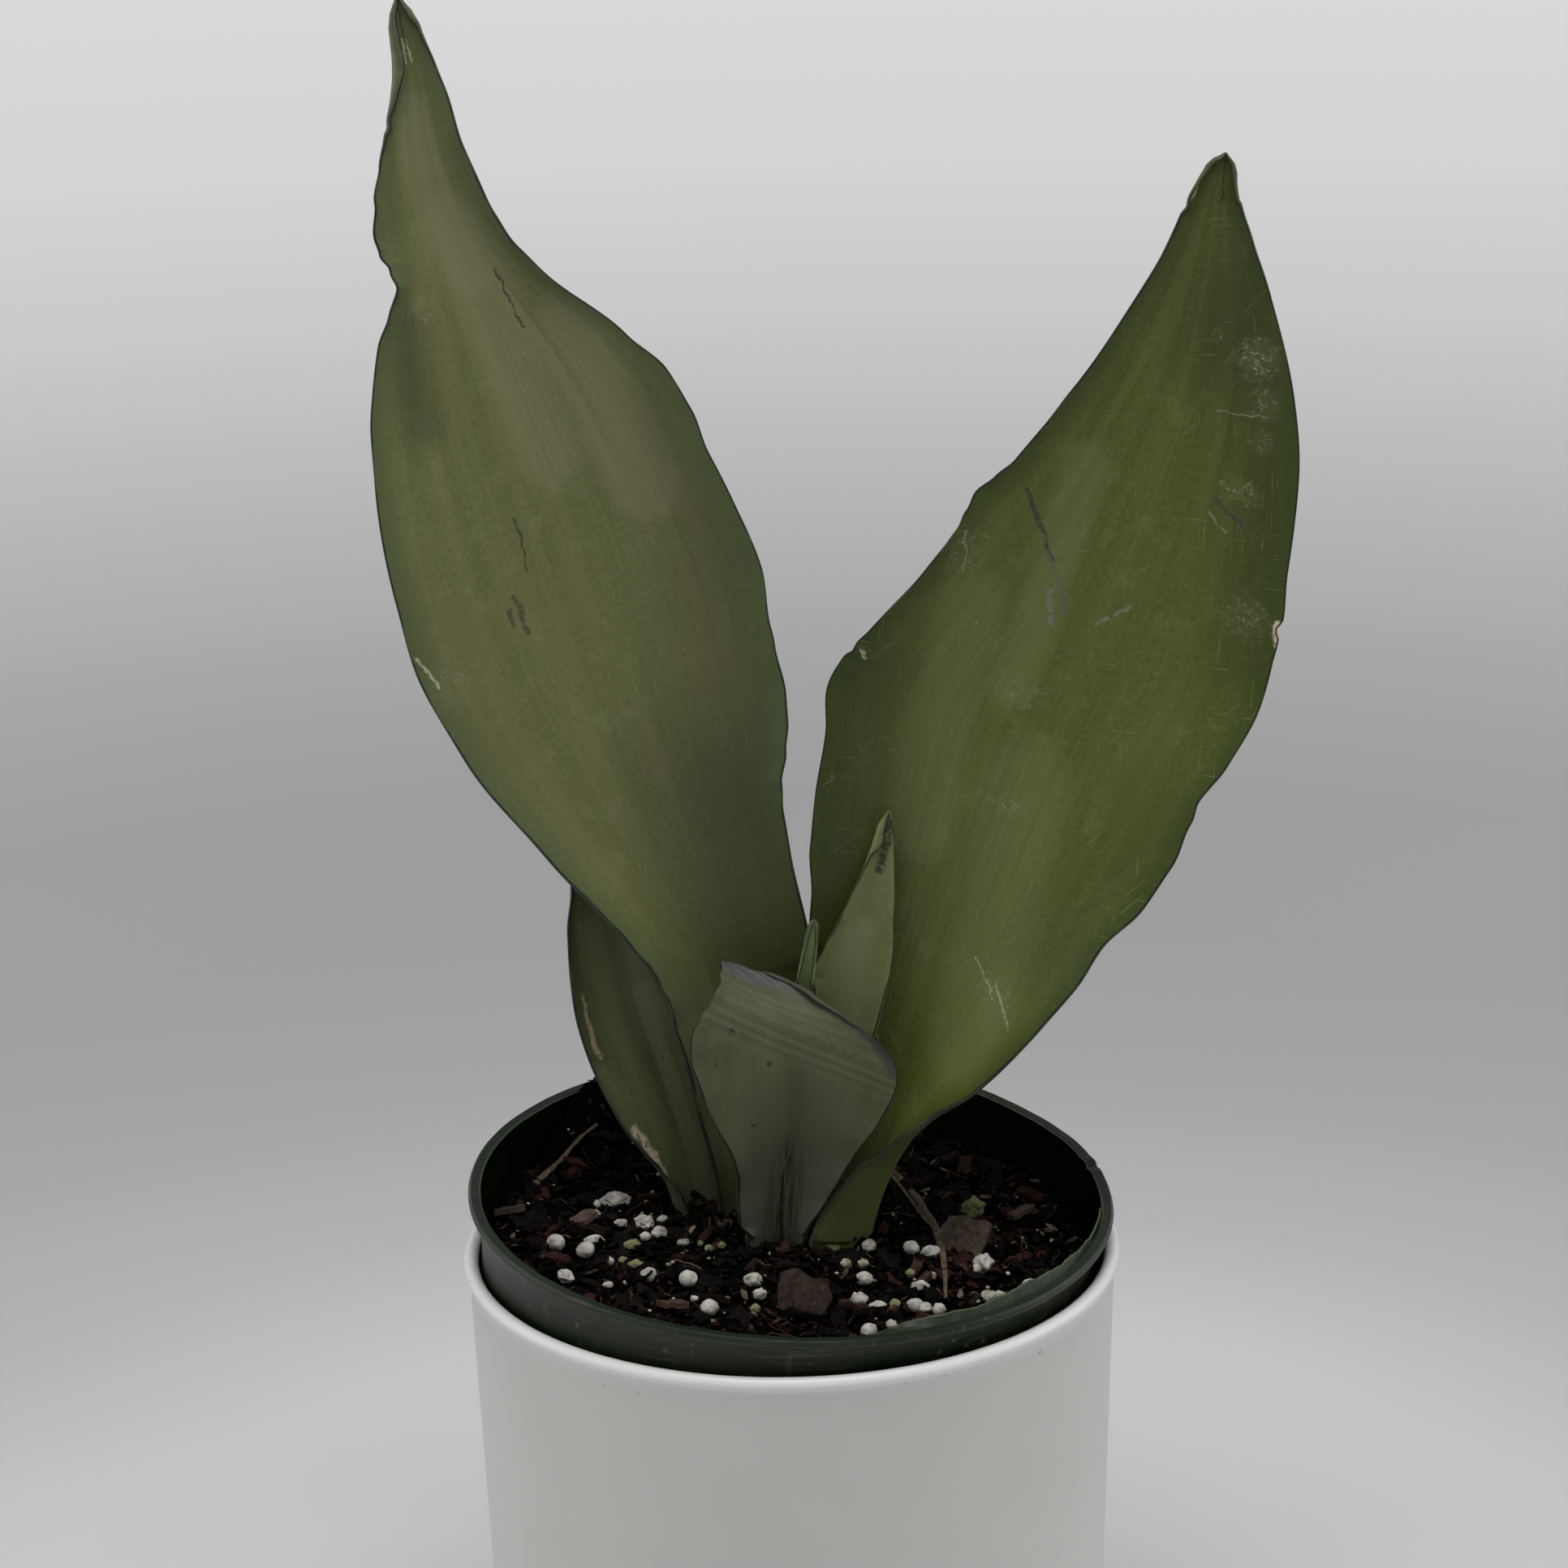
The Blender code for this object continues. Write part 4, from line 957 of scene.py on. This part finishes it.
# a point of the leaf's face, and the half width there; across is -1 to 1, along 0 to 1
def leafPoint(spec, across, along):
    rows = spec["rows"]
    place = along * (len(rows) - 1)
    x, y, z, left, right, turn, tilt, cup = splineRow(rows, place)
    before = splineRow(rows, max(place - 0.05, 0))
    after = splineRow(rows, min(place + 0.05, len(rows) - 1))
    rise = (Vector(after[:3]) - Vector(before[:3])).normalized()
    turn, tilt = math.radians(turn), math.radians(tilt)
    side = Vector((math.cos(turn) * math.cos(tilt), math.sin(turn) * math.cos(tilt), -math.sin(tilt)))
    facing = side.cross(rise).normalized()
    half = left if across < 0 else right
    edge = abs(across)
    half += waveAt(spec["leftEdge" if across < 0 else "rightEdge"], along) * edge ** 3
    half = max(half, 0.05) * min(1, (1 - along) * 40 + 0.08)
    ripple = leafBody["ripple"] * noise.noise(Vector((along * 16, 3 * (across > 0), half * 0.01)))
    fine = 0.12 * noise.noise(Vector((across * half / 9, z / 14, 7)))
    lift = cup * edge ** 1.8 + ripple * edge ** 3 * min(1, half / 10) + fine
    point = Vector((x, y, z)) + side * half * across + facing * lift
    return point, half


def makeLeaf(name, spec, finishes):
    bm = bmesh.new()
    bmesh.ops.create_grid(bm, x_segments=spec["across"], y_segments=spec["along"], size=1)
    plan = bm.loops.layers.uv.new("leafPlan")
    grain = bm.loops.layers.uv.new("leafGrain")
    widest = max(max(row[3], row[4]) for row in spec["rows"])
    edgeGap = bm.verts.layers.float.new("edgeGap")
    weights, flat, fan = {}, {}, {}
    lengths = [0.0]
    steps = leafBody["measures"]
    for step in range(1, steps + 1):  # real length along the middle
        a, _ = leafPoint(spec, 0, (step - 1) / steps)
        b, _ = leafPoint(spec, 0, step / steps)
        lengths.append(lengths[-1] + (b - a).length)
    stem, edgeShare = leafBody["stemThickness"], leafBody["edgeShare"]
    for vert in bm.verts:
        across = math.sin(vert.co.x * math.pi / 2) * 0.6 + vert.co.x * 0.4
        along = (vert.co.y + 1) / 2
        point, half = leafPoint(spec, across, along)
        middle = stem + (spec["tipThickness"] - stem) * min(along * 2, 1)
        margin = edgeShare + (1 - edgeShare) * math.sqrt(max(0, 1 - abs(across) ** 2.6))
        closing = min(1, (1 - along) * 22 + 0.12)
        weights[vert.index] = middle * margin * closing / stem
        place = along * steps
        low = min(int(place), steps - 1)
        reach = lengths[low] + (lengths[low + 1] - lengths[low]) * (place - low)
        flat[vert.index] = (across * half * mm, reach * mm)
        fan[vert.index] = (across * widest * mm, reach * mm)
        vert[edgeGap] = min(half * (1 - abs(across)), lengths[-1] - reach)
        vert.co = (point + Vector((0, 0, mixLevel))) * mm
    for face in bm.faces:
        for loop in face.loops:
            loop[plan].uv = flat[loop.vert.index]
            loop[grain].uv = fan[loop.vert.index]
    bm.normal_update()
    leaf = finishPiece(name, bm, finishes, [spec["node"]], sharp=180)
    group = leaf.vertex_groups.new(name="thickness")
    for index, weight in weights.items():
        group.add([index], min(weight, 1), "REPLACE")
    shell = leaf.modifiers.new("thickness", "SOLIDIFY")
    shell.thickness = stem * mm
    shell.offset = -1
    shell.vertex_group = group.name
    shell.material_offset = 1
    shell.material_offset_rim = 2
    low, high = boxOf([v.co for v in leaf.data.vertices])
    cadLow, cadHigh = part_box(spec["node"])
    off = [[round(v / mm, 1) for v in gap] for gap in (low - cadLow, high - cadHigh)]
    print(name, "box off by", *off)


# a mark is (start, end, width, then its share or its tint), a crinkled patch is (middle, reach, share),
# all in millimetres on the leaf laid flat
leafLooks = {
    "leftTall": {
        "gloss": 0.30,
        "deep": (0.092, 0.104, 0.030), "pale": (0.160, 0.165, 0.063), "sheen": (0.215, 0.215, 0.112),
        "warm": (0.150, 0.138, 0.055), "base": (0.075, 0.082, 0.034), "margin": (0.007, 0.013, 0.008),
        "band": (0.062, 0.090, 0.030), "bandWidth": 10.0, "roughness": 0.44,
        "sheens": [((-1, 290), (2, 250), 3.0), ((3, 262), (6, 205), 5.0), ((20, 232), (24, 190), 5.0)],
        "shades": [
            ((46, 200), (34, 110), 20.0, 0.55), ((20, 115), (8, 40), 26.0, 0.60),
            ((-16, 243), (-20, 222), 6.0, 0.60), ((-46, 190), (-30, 120), 14.0, 0.30),
        ],
        "scratches": 0.25, "lines": [
            ((8.5, 250), (9.8, 235), 0.30, (0.020, 0.030, 0.014)),
            ((-6.8, 194), (-7.9, 182), 0.35, (0.035, 0.038, 0.022)),
            ((-12.9, 177), (-11.9, 169), 0.8, (0.050, 0.045, 0.028)),
            ((-15.2, 175), (-14.6, 171), 0.6, (0.055, 0.050, 0.030)),
            ((0.2, 306), (1.2, 301), 0.35, (0.42, 0.40, 0.24)),
            ((-0.6, 306), (-0.4, 300.5), 0.28, (0.42, 0.40, 0.24)),
            ((-1.2, 318), (0.2, 305), 0.30, (0.020, 0.028, 0.016)),
            ((-6.0, 288.5), (-6.9, 285.5), 0.7, (0.50, 0.48, 0.30)),
            ((-39, 173), (-36, 165), 0.45, (0.38, 0.36, 0.24)),
        ],
        "crinkles": [((-33, 164), (8, 8), 0.35), ((-10.5, 246), (3, 5), 0.45), ((-12, 262), (2.5, 5), 0.25)],
    },
    "rightTall": {
        "gloss": 0.26,
        "deep": (0.054, 0.076, 0.011), "pale": (0.112, 0.132, 0.029), "sheen": (0.165, 0.180, 0.068),
        "warm": (0.092, 0.099, 0.022), "base": (0.098, 0.108, 0.048), "margin": (0.006, 0.011, 0.007),
        "band": (0.034, 0.052, 0.006), "bandWidth": 10.0, "roughness": 0.42,
        "sheens": [((-14, 205), (-8, 150), 3.5), ((-24, 165), (-16, 110), 5.0), ((4, 130), (12, 70), 7.0)],
        "shades": [
            ((22, 250), (46, 185), 22.0, 0.75), ((14, 280), (8, 240), 12.0, 0.40),
            ((-44, 140), (-30, 85), 16.0, 0.65), ((46, 150), (26, 100), 14.0, 0.35),
        ],
        "scratches": 0.85, "lines": [
            ((-24, 194), (-12, 181), 0.7, (0.030, 0.034, 0.030)),
            ((-14, 183), (-4, 171), 0.5, (0.10, 0.11, 0.09)),
            ((-5.1, 274), (-6.9, 269), 0.5, (0.50, 0.44, 0.30)),
            ((-42.5, 145.5), (-41, 144), 0.6, (0.48, 0.44, 0.30)),
            ((40.5, 188), (42.5, 183.5), 1.1, (0.52, 0.44, 0.32)),
            ((9.7, 226.4), (21, 229.5), 0.15, (0.20, 0.22, 0.13)),
            ((17, 208), (24, 205), 0.5, (0.035, 0.036, 0.034)),
            ((16.5, 205), (22, 202.5), 0.35, (0.15, 0.16, 0.11)),
            ((-33, 180), (-29, 171), 0.25, (0.19, 0.21, 0.13)),
            ((6.7, 88.8), (15, 83), 0.35, (0.28, 0.30, 0.17)), ((14, 86), (22, 79), 0.35, (0.28, 0.30, 0.17)),
            ((0.4, 283), (1.2, 272), 0.30, (0.012, 0.014, 0.010)),
            ((-10, 174), (-6, 168), 0.9, (0.16, 0.17, 0.13)), ((9, 178), (3, 171), 0.5, (0.15, 0.17, 0.11)),
        ],
        "crinkles": [
            ((16, 241), (7, 7), 1.0), ((20.5, 232), (4.5, 6), 0.7), ((5.6, 243), (1.8, 2.6), 0.6),
            ((21, 212), (7, 4), 0.7), ((1.7, 124), (7, 2.4), 1.0), ((-30, 176), (7, 8), 0.6),
            ((15, 84), (11, 6), 0.5), ((-20, 160), (10, 6), 0.4), ((34, 186), (8, 7), 0.6),
            ((-6, 150), (9, 6), 0.5), ((22, 224), (4, 4), 0.6),
        ],
    },
    "frontShort": {
        "gloss": 0.25,
        "deep": (0.063, 0.070, 0.034), "pale": (0.100, 0.107, 0.055), "sheen": (0.126, 0.131, 0.076),
        "warm": (0.090, 0.088, 0.058), "base": (0.105, 0.104, 0.078), "margin": (0.008, 0.014, 0.008),
        "band": (0.080, 0.096, 0.050), "bandWidth": 3.0, "roughness": 0.56,
        "sheens": [((-8, 60), (-4, 30), 4.0), ((10, 60), (7, 35), 4.0)],
        "shades": [],
        "scratches": 0.15, "lines": [
            ((-14.4, 68.6), (-14.0, 68.4), 0.55, (0.012, 0.014, 0.010)),
            ((-17.9, 61.1), (-17.6, 61.0), 0.5, (0.012, 0.014, 0.010)),
            ((-5.2, 61.9), (-4.9, 62.1), 0.5, (0.012, 0.014, 0.010)),
            ((-8.8, 47.8), (-8.5, 47.7), 0.55, (0.012, 0.014, 0.010)),
        ],
        "crinkles": [((-1.3, 95), (5, 3.5), 0.9)],
    },
    "leftLow": {
        "gloss": 0.28,
        "deep": (0.072, 0.086, 0.034), "pale": (0.142, 0.158, 0.072), "sheen": (0.215, 0.225, 0.130),
        "warm": (0.085, 0.090, 0.045), "base": (0.085, 0.098, 0.042), "margin": (0.006, 0.011, 0.007),
        "band": (0.045, 0.058, 0.026), "bandWidth": 3.0, "roughness": 0.48,
        "sheens": [((-7, 88), (-3, 20), 1.6), ((2, 70), (2, 14), 1.2), ((-5, 104), (-2, 66), 6.0)],
        "shades": [((-3, 60), (-1, 30), 7.0, 0.25), ((-14, 90), (-13, 60), 3.0, 0.5)],
        "scratches": 0.2, "lines": [
            ((-12.2, 74.3), (-13.2, 64), 0.55, (0.34, 0.28, 0.17)),
            ((-13.2, 66), (-12.8, 58.8), 0.7, (0.34, 0.28, 0.17)),
            ((-11.0, 40.5), (-8.4, 32), 1.2, (0.46, 0.38, 0.27)),
            ((-8.8, 33), (-7.2, 27), 1.0, (0.46, 0.38, 0.27)),
        ],
        "crinkles": [((-9, 48), (3, 5), 0.3)],
    },
    "centreYoung": {
        "gloss": 0.25,
        "deep": (0.112, 0.132, 0.048), "pale": (0.168, 0.192, 0.078), "sheen": (0.215, 0.240, 0.115),
        "warm": (0.135, 0.145, 0.070), "base": (0.120, 0.150, 0.045), "margin": (0.050, 0.070, 0.020),
        "band": (0.175, 0.215, 0.060), "bandWidth": 2.0, "roughness": 0.50,
        "sheens": [((-2, 85), (0, 40), 2.0)],
        "shades": [],
        "scratches": 0.1, "lines": [((1.2, 116), (0.2, 100), 1.3, (0.012, 0.018, 0.012))],
        "crinkles": [],
    },
    "centreSpear": {
        "gloss": 0.25,
        "deep": (0.105, 0.140, 0.045), "pale": (0.155, 0.190, 0.075), "sheen": (0.220, 0.250, 0.130),
        "warm": (0.120, 0.160, 0.050), "base": (0.110, 0.180, 0.035), "margin": (0.012, 0.022, 0.010),
        "band": (0.130, 0.175, 0.050), "bandWidth": 1.0, "roughness": 0.50,
        "sheens": [], "shades": [], "scratches": 0.0, "lines": [], "crinkles": [],
    },
}


# ragged pale lines inside an oval patch
def crinkle(plan, centre, reach, seed):
    away = plan.moved((-centre[0], -centre[1], 0)).scaled((1 / reach[0], 1 / reach[1], 0))
    far = plan.node("ShaderNodeVectorMath", {"operation": "LENGTH"}, {0: away}, out=1)
    edge = plan.moved((seed * 7.1, 0, 0)).noise(0.55, 4, 0.6)
    inside = (far + edge * 1.2).step(1.50, 0.95)
    folds = plan.moved((0, seed * 3.3, 0)).scaled((0.50, 1.0, 1)).noise(0.62, 2, 0.5, 1.4)
    ridges = (folds - 0.5).size().step(0.030, 0.006) * plan.noise(0.5, 2, 0.5).step(0.44, 0.56)
    return inside, ridges


# a leaf's skin; the under side has no scratches, lines or crinkles
def leafFinish(name, key, under=False):
    look = leafLooks[key]
    crinkles, lines = ([], []) if under else (look["crinkles"], look["lines"])
    material, start, wear = newFinish(name, look["roughness"], Specular_IOR_Level=look["gloss"])
    plan = uvPlace(start, "leafPlan").scaled((1000, 1000, 0))  # millimetres on the leaf
    grain = uvPlace(start, "leafGrain").scaled((1000, 1000, 0))
    gap = attribute(start, "edgeGap")
    across, along, _ = plan.parts()
    fine = grain.scaled((2.6, 0.030, 1)).noise(1.0, 3, 0.6)
    fibre = grain.scaled((0.75, 0.012, 1)).noise(1.0, 4, 0.6)
    broad = grain.scaled((0.13, 0.006, 1)).noise(1.0, 2, 0.5)
    cloud = grain.scaled((0.050, 0.022, 1)).noise(1.0, 3, 0.55)
    mottle = plan.noise(0.8, 4, 0.65)
    blotch = plan.noise(0.11, 3, 0.6)
    tone = fibre * 0.20 + broad * 0.34 + fine * 0.14 + mottle * 0.38
    colour = tone.step(0.36, 0.72).mix(look["deep"], look["pale"])
    colour = (cloud.step(0.46, 0.68) * 0.5).mix(colour, look["warm"])
    colour = (blotch.step(0.54, 0.74) * 0.30).mix(colour, look["sheen"])
    for a, b, width in look["sheens"]:
        glow = plan.mark(a, b, width * 2.2)
        colour = (glow * (fibre * 0.8 + 0.15) * 0.75).mix(colour, look["sheen"])
    shadow = tuple(part * 0.42 for part in look["deep"])
    for a, b, width, share in look["shades"]:
        dim = plan.mark(a, b, width * 1.6, 0.0)
        colour = (dim * share).mix(colour, shadow)
    colour = (along.step(60, 8) * 0.75).mix(colour, look["base"])
    band = gap.step(look["bandWidth"], 0.0)
    colour = (band * band * 0.75).mix(colour, look["band"])
    if look["scratches"] and not under:
        patches = plan.moved((31, 5, 0)).noise(0.06, 2, 0.5).step(0.42, 0.62)
        cuts = None
        for turn, stretch in ((0.55, (2.2, 0.07, 1)), (-0.35, (2.4, 0.08, 1)), (1.25, (2.6, 0.11, 1))):
            inputs = {"Vector": plan, "Angle": turn}
            turned = plan.node("ShaderNodeVectorRotate", {"rotation_type": "Z_AXIS"}, inputs)
            cut = turned.scaled(stretch).noise(1.0, 2, 0.5).step(0.650, 0.715)
            cuts = cut if cuts is None else cuts.most(cut)
        colour = (cuts * (patches * 0.8 + 0.2) * (0.75 * look["scratches"])).mix(colour, look["sheen"])
    flecks = plan.cells(0.9).step(0.20, 0.05) * plan.moved((9, 9, 0)).noise(0.3, 2, 0.5).step(0.50, 0.62)
    colour = (flecks * 0.45).mix(colour, look["sheen"])
    if key == "frontShort" and not under:
        colour = frontShortMarks(plan, across, along, mottle, gap, colour)
    lift = fine * 0.35 + mottle * 0.35 + fibre * 0.3
    for seed, (centre, reach, share) in enumerate(crinkles):
        inside, ridges = crinkle(plan, centre, reach, seed)
        colour = (inside * mottle * 0.40 * share).mix(colour, look["sheen"])
        colour = (inside * ridges * mottle.step(0.38, 0.54) * share).mix(colour, (0.30, 0.31, 0.23))
        lift = lift + inside * ridges * (share * 1.2)
    warped = shaken(plan, 0.9)
    for a, b, width, tint in lines:
        colour = (warped.mark(a, b, width * 1.2) * mottle.step(0.36, 0.50) * 0.85).mix(colour, tint)
    edging = start.node("ShaderNodeCombineXYZ", None, {0: across * 0.02, 1: along * 0.11}).noise(1.0, 2, 0.5)
    rim = gap.step(0.42, 0.12) * edging.step(0.30, 0.50)
    colour = rim.mix(colour, look["margin"])
    if under:
        colour = (mottle * 0.2 + 0.25).mix(colour, look["sheen"])
    wear(colour, look["roughness"] - 0.10 + mottle * 0.14 + fine * 0.06, lift, 0.16, 0.0005)
    return material


# the plan bent by a coarse and a fine wobble, so that marks on it wander
def shaken(plan, amount):
    for scale, reach in ((0.22, amount * 3.0), (1.1, amount * 0.7)):
        jitter = plan.node("ShaderNodeTexNoise", None, {"Vector": plan, "Scale": scale, "Detail": 2.0}, out=1)
        centred = jitter.moved((-0.5, -0.5, -0.5)).scaled((reach, reach, 0))
        plan = plan.node("ShaderNodeVectorMath", {"operation": "ADD"}, {0: plan, 1: centred})
    return plan


# the short front leaf: a stained groove, and painted highlight and shade bands where its tip bends back
def frontShortMarks(plan, across, along, mottle, gap, colour):
    groove = (across - 1.0).size().step(6.5, 1.0) * along.step(50, 26) * along.step(6, 12)
    streaks = plan.scaled((0.9, 0.06, 1)).noise(1.0, 4, 0.7)
    colour = (groove * streaks.step(0.38, 0.60) * 0.85).mix(colour, (0.034, 0.022, 0.013))
    core = (across - 0.3).size().step(1.6, 0.3) * along.step(48, 36) * along.step(8, 14)
    colour = (core * streaks.step(0.42, 0.54) * 0.9).mix(colour, (0.014, 0.010, 0.007))
    sides = (across.size().step(3.0, 6.0)) * along.step(46, 20)
    colour = (sides * 0.35).mix(colour, (0.150, 0.146, 0.118))
    # painted highlight and painted shade: pale and dark bands where the tip bends back; further up, towards
    # the tip, the leaf turns darker
    arc = along + across * 0.28 + mottle * 1.5
    waves = plan.node("ShaderNodeCombineXYZ", None, {0: arc * 0.42}).noise(1.0, 2, 0.5)
    bendShading = arc.step(61, 66)
    colour = (bendShading * waves.step(0.48, 0.60) * 0.28).mix(colour, (0.150, 0.155, 0.085))
    colour = (bendShading * waves.step(0.50, 0.38) * 0.40).mix(colour, (0.060, 0.072, 0.030))
    colour = (arc.step(78, 84) * 0.7).mix(colour, (0.060, 0.070, 0.040))
    dry = gap.step(4.2, 1.2) * (along + across * 0.35).step(68, 73) * across.step(-6, 0)
    colour = (dry * mottle.step(0.26, 0.46) * 0.9).mix(colour, (0.032, 0.038, 0.035))
    withered = (along + mottle * 7.0).step(83.5, 88.5)
    husk = streaks.step(0.35, 0.65).mix((0.045, 0.042, 0.048), (0.155, 0.150, 0.155))
    return (withered * 0.9).mix(colour, husk)


# the creeping stem under the mix keeps its body and gets its bark-like skin
def dressRhizome():
    material, start, wear = newFinish("rhizomeSkin", 0.75, Specular_IOR_Level=0.25)
    place = objectPlace(start)
    rings = place.scaled((420, 90, 90)).noise(1.0, 4, 0.6)
    cloud = place.noise(120, 4, 0.6)
    colour = (rings * 0.6 + cloud * 0.5).step(0.38, 0.70).mix((0.13, 0.065, 0.022), (0.33, 0.20, 0.080))
    colour = (place.cells(300).step(0.16, 0.06) * 0.6).mix(colour, (0.045, 0.026, 0.014))
    wear(colour, cloud * 0.2 + 0.62, rings, 0.5, 0.0006)
    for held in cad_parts["rhizome"].material_slots:
        held.material = material


# the dark line round every leaf
def marginFinish():
    material, start, wear = newFinish("leafMargin", 0.5)
    place = objectPlace(start)
    drift = place.noise(160, 3, 0.6)
    colour = drift.step(0.35, 0.7).mix((0.007, 0.014, 0.009), (0.030, 0.042, 0.022))
    wear(colour, drift * 0.2 + 0.4, drift, 0.1, 0.0004)
    return material


# painted light and shade on the floor: its colour and glow change with the distance from the pot, as a share
# of reach
stageLook = {
    "radius": 14.0, "reach": 3.5,
    "colour": [
        (0.0, 0.72), (0.065, 0.70), (0.094, 0.56), (0.126, 0.495), (0.166, 0.48), (0.217, 0.52), (0.30, 0.55),
        (0.65, 0.62), (1.0, 0.65),
    ],
    "glow": [
        (0.0, 0.0), (0.217, 0.0), (0.283, 0.083), (0.366, 0.209), (0.483, 0.357), (0.645, 0.466),
        (0.863, 0.525), (1.0, 0.54),
    ],
}


def makeStage():
    bm = bmesh.new()
    bmesh.ops.create_circle(bm, cap_ends=True, segments=96, radius=stageLook["radius"])
    for vert in bm.verts:
        vert.co.z = -0.0002
    mesh = bpy.data.meshes.new("floor")
    bm.to_mesh(mesh)
    bm.free()
    floor = bpy.data.objects.new("floor", mesh)
    bpy.context.scene.collection.objects.link(floor)
    material, start, wear = newFinish("floorPaintedLight", 0.9, Specular_IOR_Level=0.1)
    place = objectPlace(start)
    reach = start.node("ShaderNodeVectorMath", {"operation": "LENGTH"}, {0: place}, out=1)
    share = start.node("ShaderNodeMapRange", None, {"Value": reach, "From Max": stageLook["reach"]})
    # painted shade and painted light: a darker ring round the pot, and a brighter glowing floor further out
    paintedFloorLight = [(at, (value, value, value)) for at, value in stageLook["colour"]]
    glow = [(at, (value, value, value)) for at, value in stageLook["glow"]]
    wear(start.node("ShaderNodeValToRGB", {"stops": paintedFloorLight}, {"Fac": share}))
    shader = material.node_tree.nodes["Principled BSDF"]
    shader.inputs["Emission Strength"].default_value = 1.0
    shine = start.node("ShaderNodeValToRGB", {"stops": glow}, {"Fac": share})
    start.feed(shader.inputs["Emission Color"], shine)
    mesh.materials.append(material)


lights = {
    "over": {"at": (0.0, -0.30, 1.65), "to": (0, 0.02, 0.2), "size": (1.2, 0.9), "power": 17.0},
    "left": {"at": (-1.5, 0.15, 0.70), "to": (0, 0, 0.2), "size": (1.0, 1.2), "power": 4.2},
    "right": {"at": (1.5, 0.15, 0.70), "to": (0, 0, 0.2), "size": (1.0, 1.2), "power": 4.6},
    "front": {"at": (0.2, -1.5, 1.3), "to": (0, 0, 0.30), "size": (0.9, 0.6), "power": 0.4},
}
# the room's light: dim overhead, bright at the horizon, and the heights between which it changes
air = {"overhead": (0.19, 0.19, 0.19), "horizon": (0.64, 0.64, 0.64), "change": (0.30, 0.16)}


def makeLights():
    for name, spec in lights.items():
        lamp = bpy.data.lights.new(name, "AREA")
        lamp.shape = "RECTANGLE"
        lamp.size, lamp.size_y = spec["size"]
        lamp.energy = spec["power"]
        obj = bpy.data.objects.new(name, lamp)
        bpy.context.scene.collection.objects.link(obj)
        obj.location = spec["at"]
        way = Vector(spec["to"]) - Vector(spec["at"])
        obj.rotation_euler = way.to_track_quat("-Z", "Y").to_euler()
    world = bpy.data.worlds.new("studioAir")
    world.use_nodes = True
    bpy.context.scene.world = world
    start = Wire(world.node_tree)
    way = start.node("ShaderNodeTexCoord", None, None, out=0)
    _, _, height = way.parts()
    haze = height.step(*air["change"]).mix(air["overhead"], air["horizon"])
    start.feed(world.node_tree.nodes["Background"].inputs["Color"], haze)
    world.node_tree.nodes["Background"].inputs["Strength"].default_value = 1.0


view = {"lens": 102.1, "sensor": 36, "at": (0.0007, -0.9715, 0.5534), "down": 17.7, "roll": -1.3, "far": 100}


def makeCamera():
    cam = bpy.data.cameras.new("camera")
    cam.sensor_width = view["sensor"]
    cam.lens = view["lens"]
    cam.clip_end = view["far"]
    obj = bpy.data.objects.new("camera", cam)
    bpy.context.scene.collection.objects.link(obj)
    tip = Matrix.Rotation(math.radians(90 - view["down"]), 4, "X")
    roll = Matrix.Rotation(math.radians(view["roll"]), 4, "Z")
    obj.matrix_world = Matrix.Translation(view["at"]) @ tip @ roll
    bpy.context.scene.camera = obj


makeCamera()
makeStage()
makeLights()
print("camera, floor and lights")
makeCoverPot()
makeNurseryPot()
makeLipFlap()
print("pots")
makeMix()
print("potting mix")
margin = marginFinish()
for name, spec in leaves.items():
    front = leafFinish(name + "Face", name)
    under = leafFinish(name + "Under", name, under=True)
    makeLeaf(name, spec, [front, under, margin])
dressRhizome()
print("leaves")
makeLitter()
makePerlite()
makeBark()
makeStraws()
print("bark, perlite and straw")

bpy.context.scene.view_settings.view_transform = "Standard"
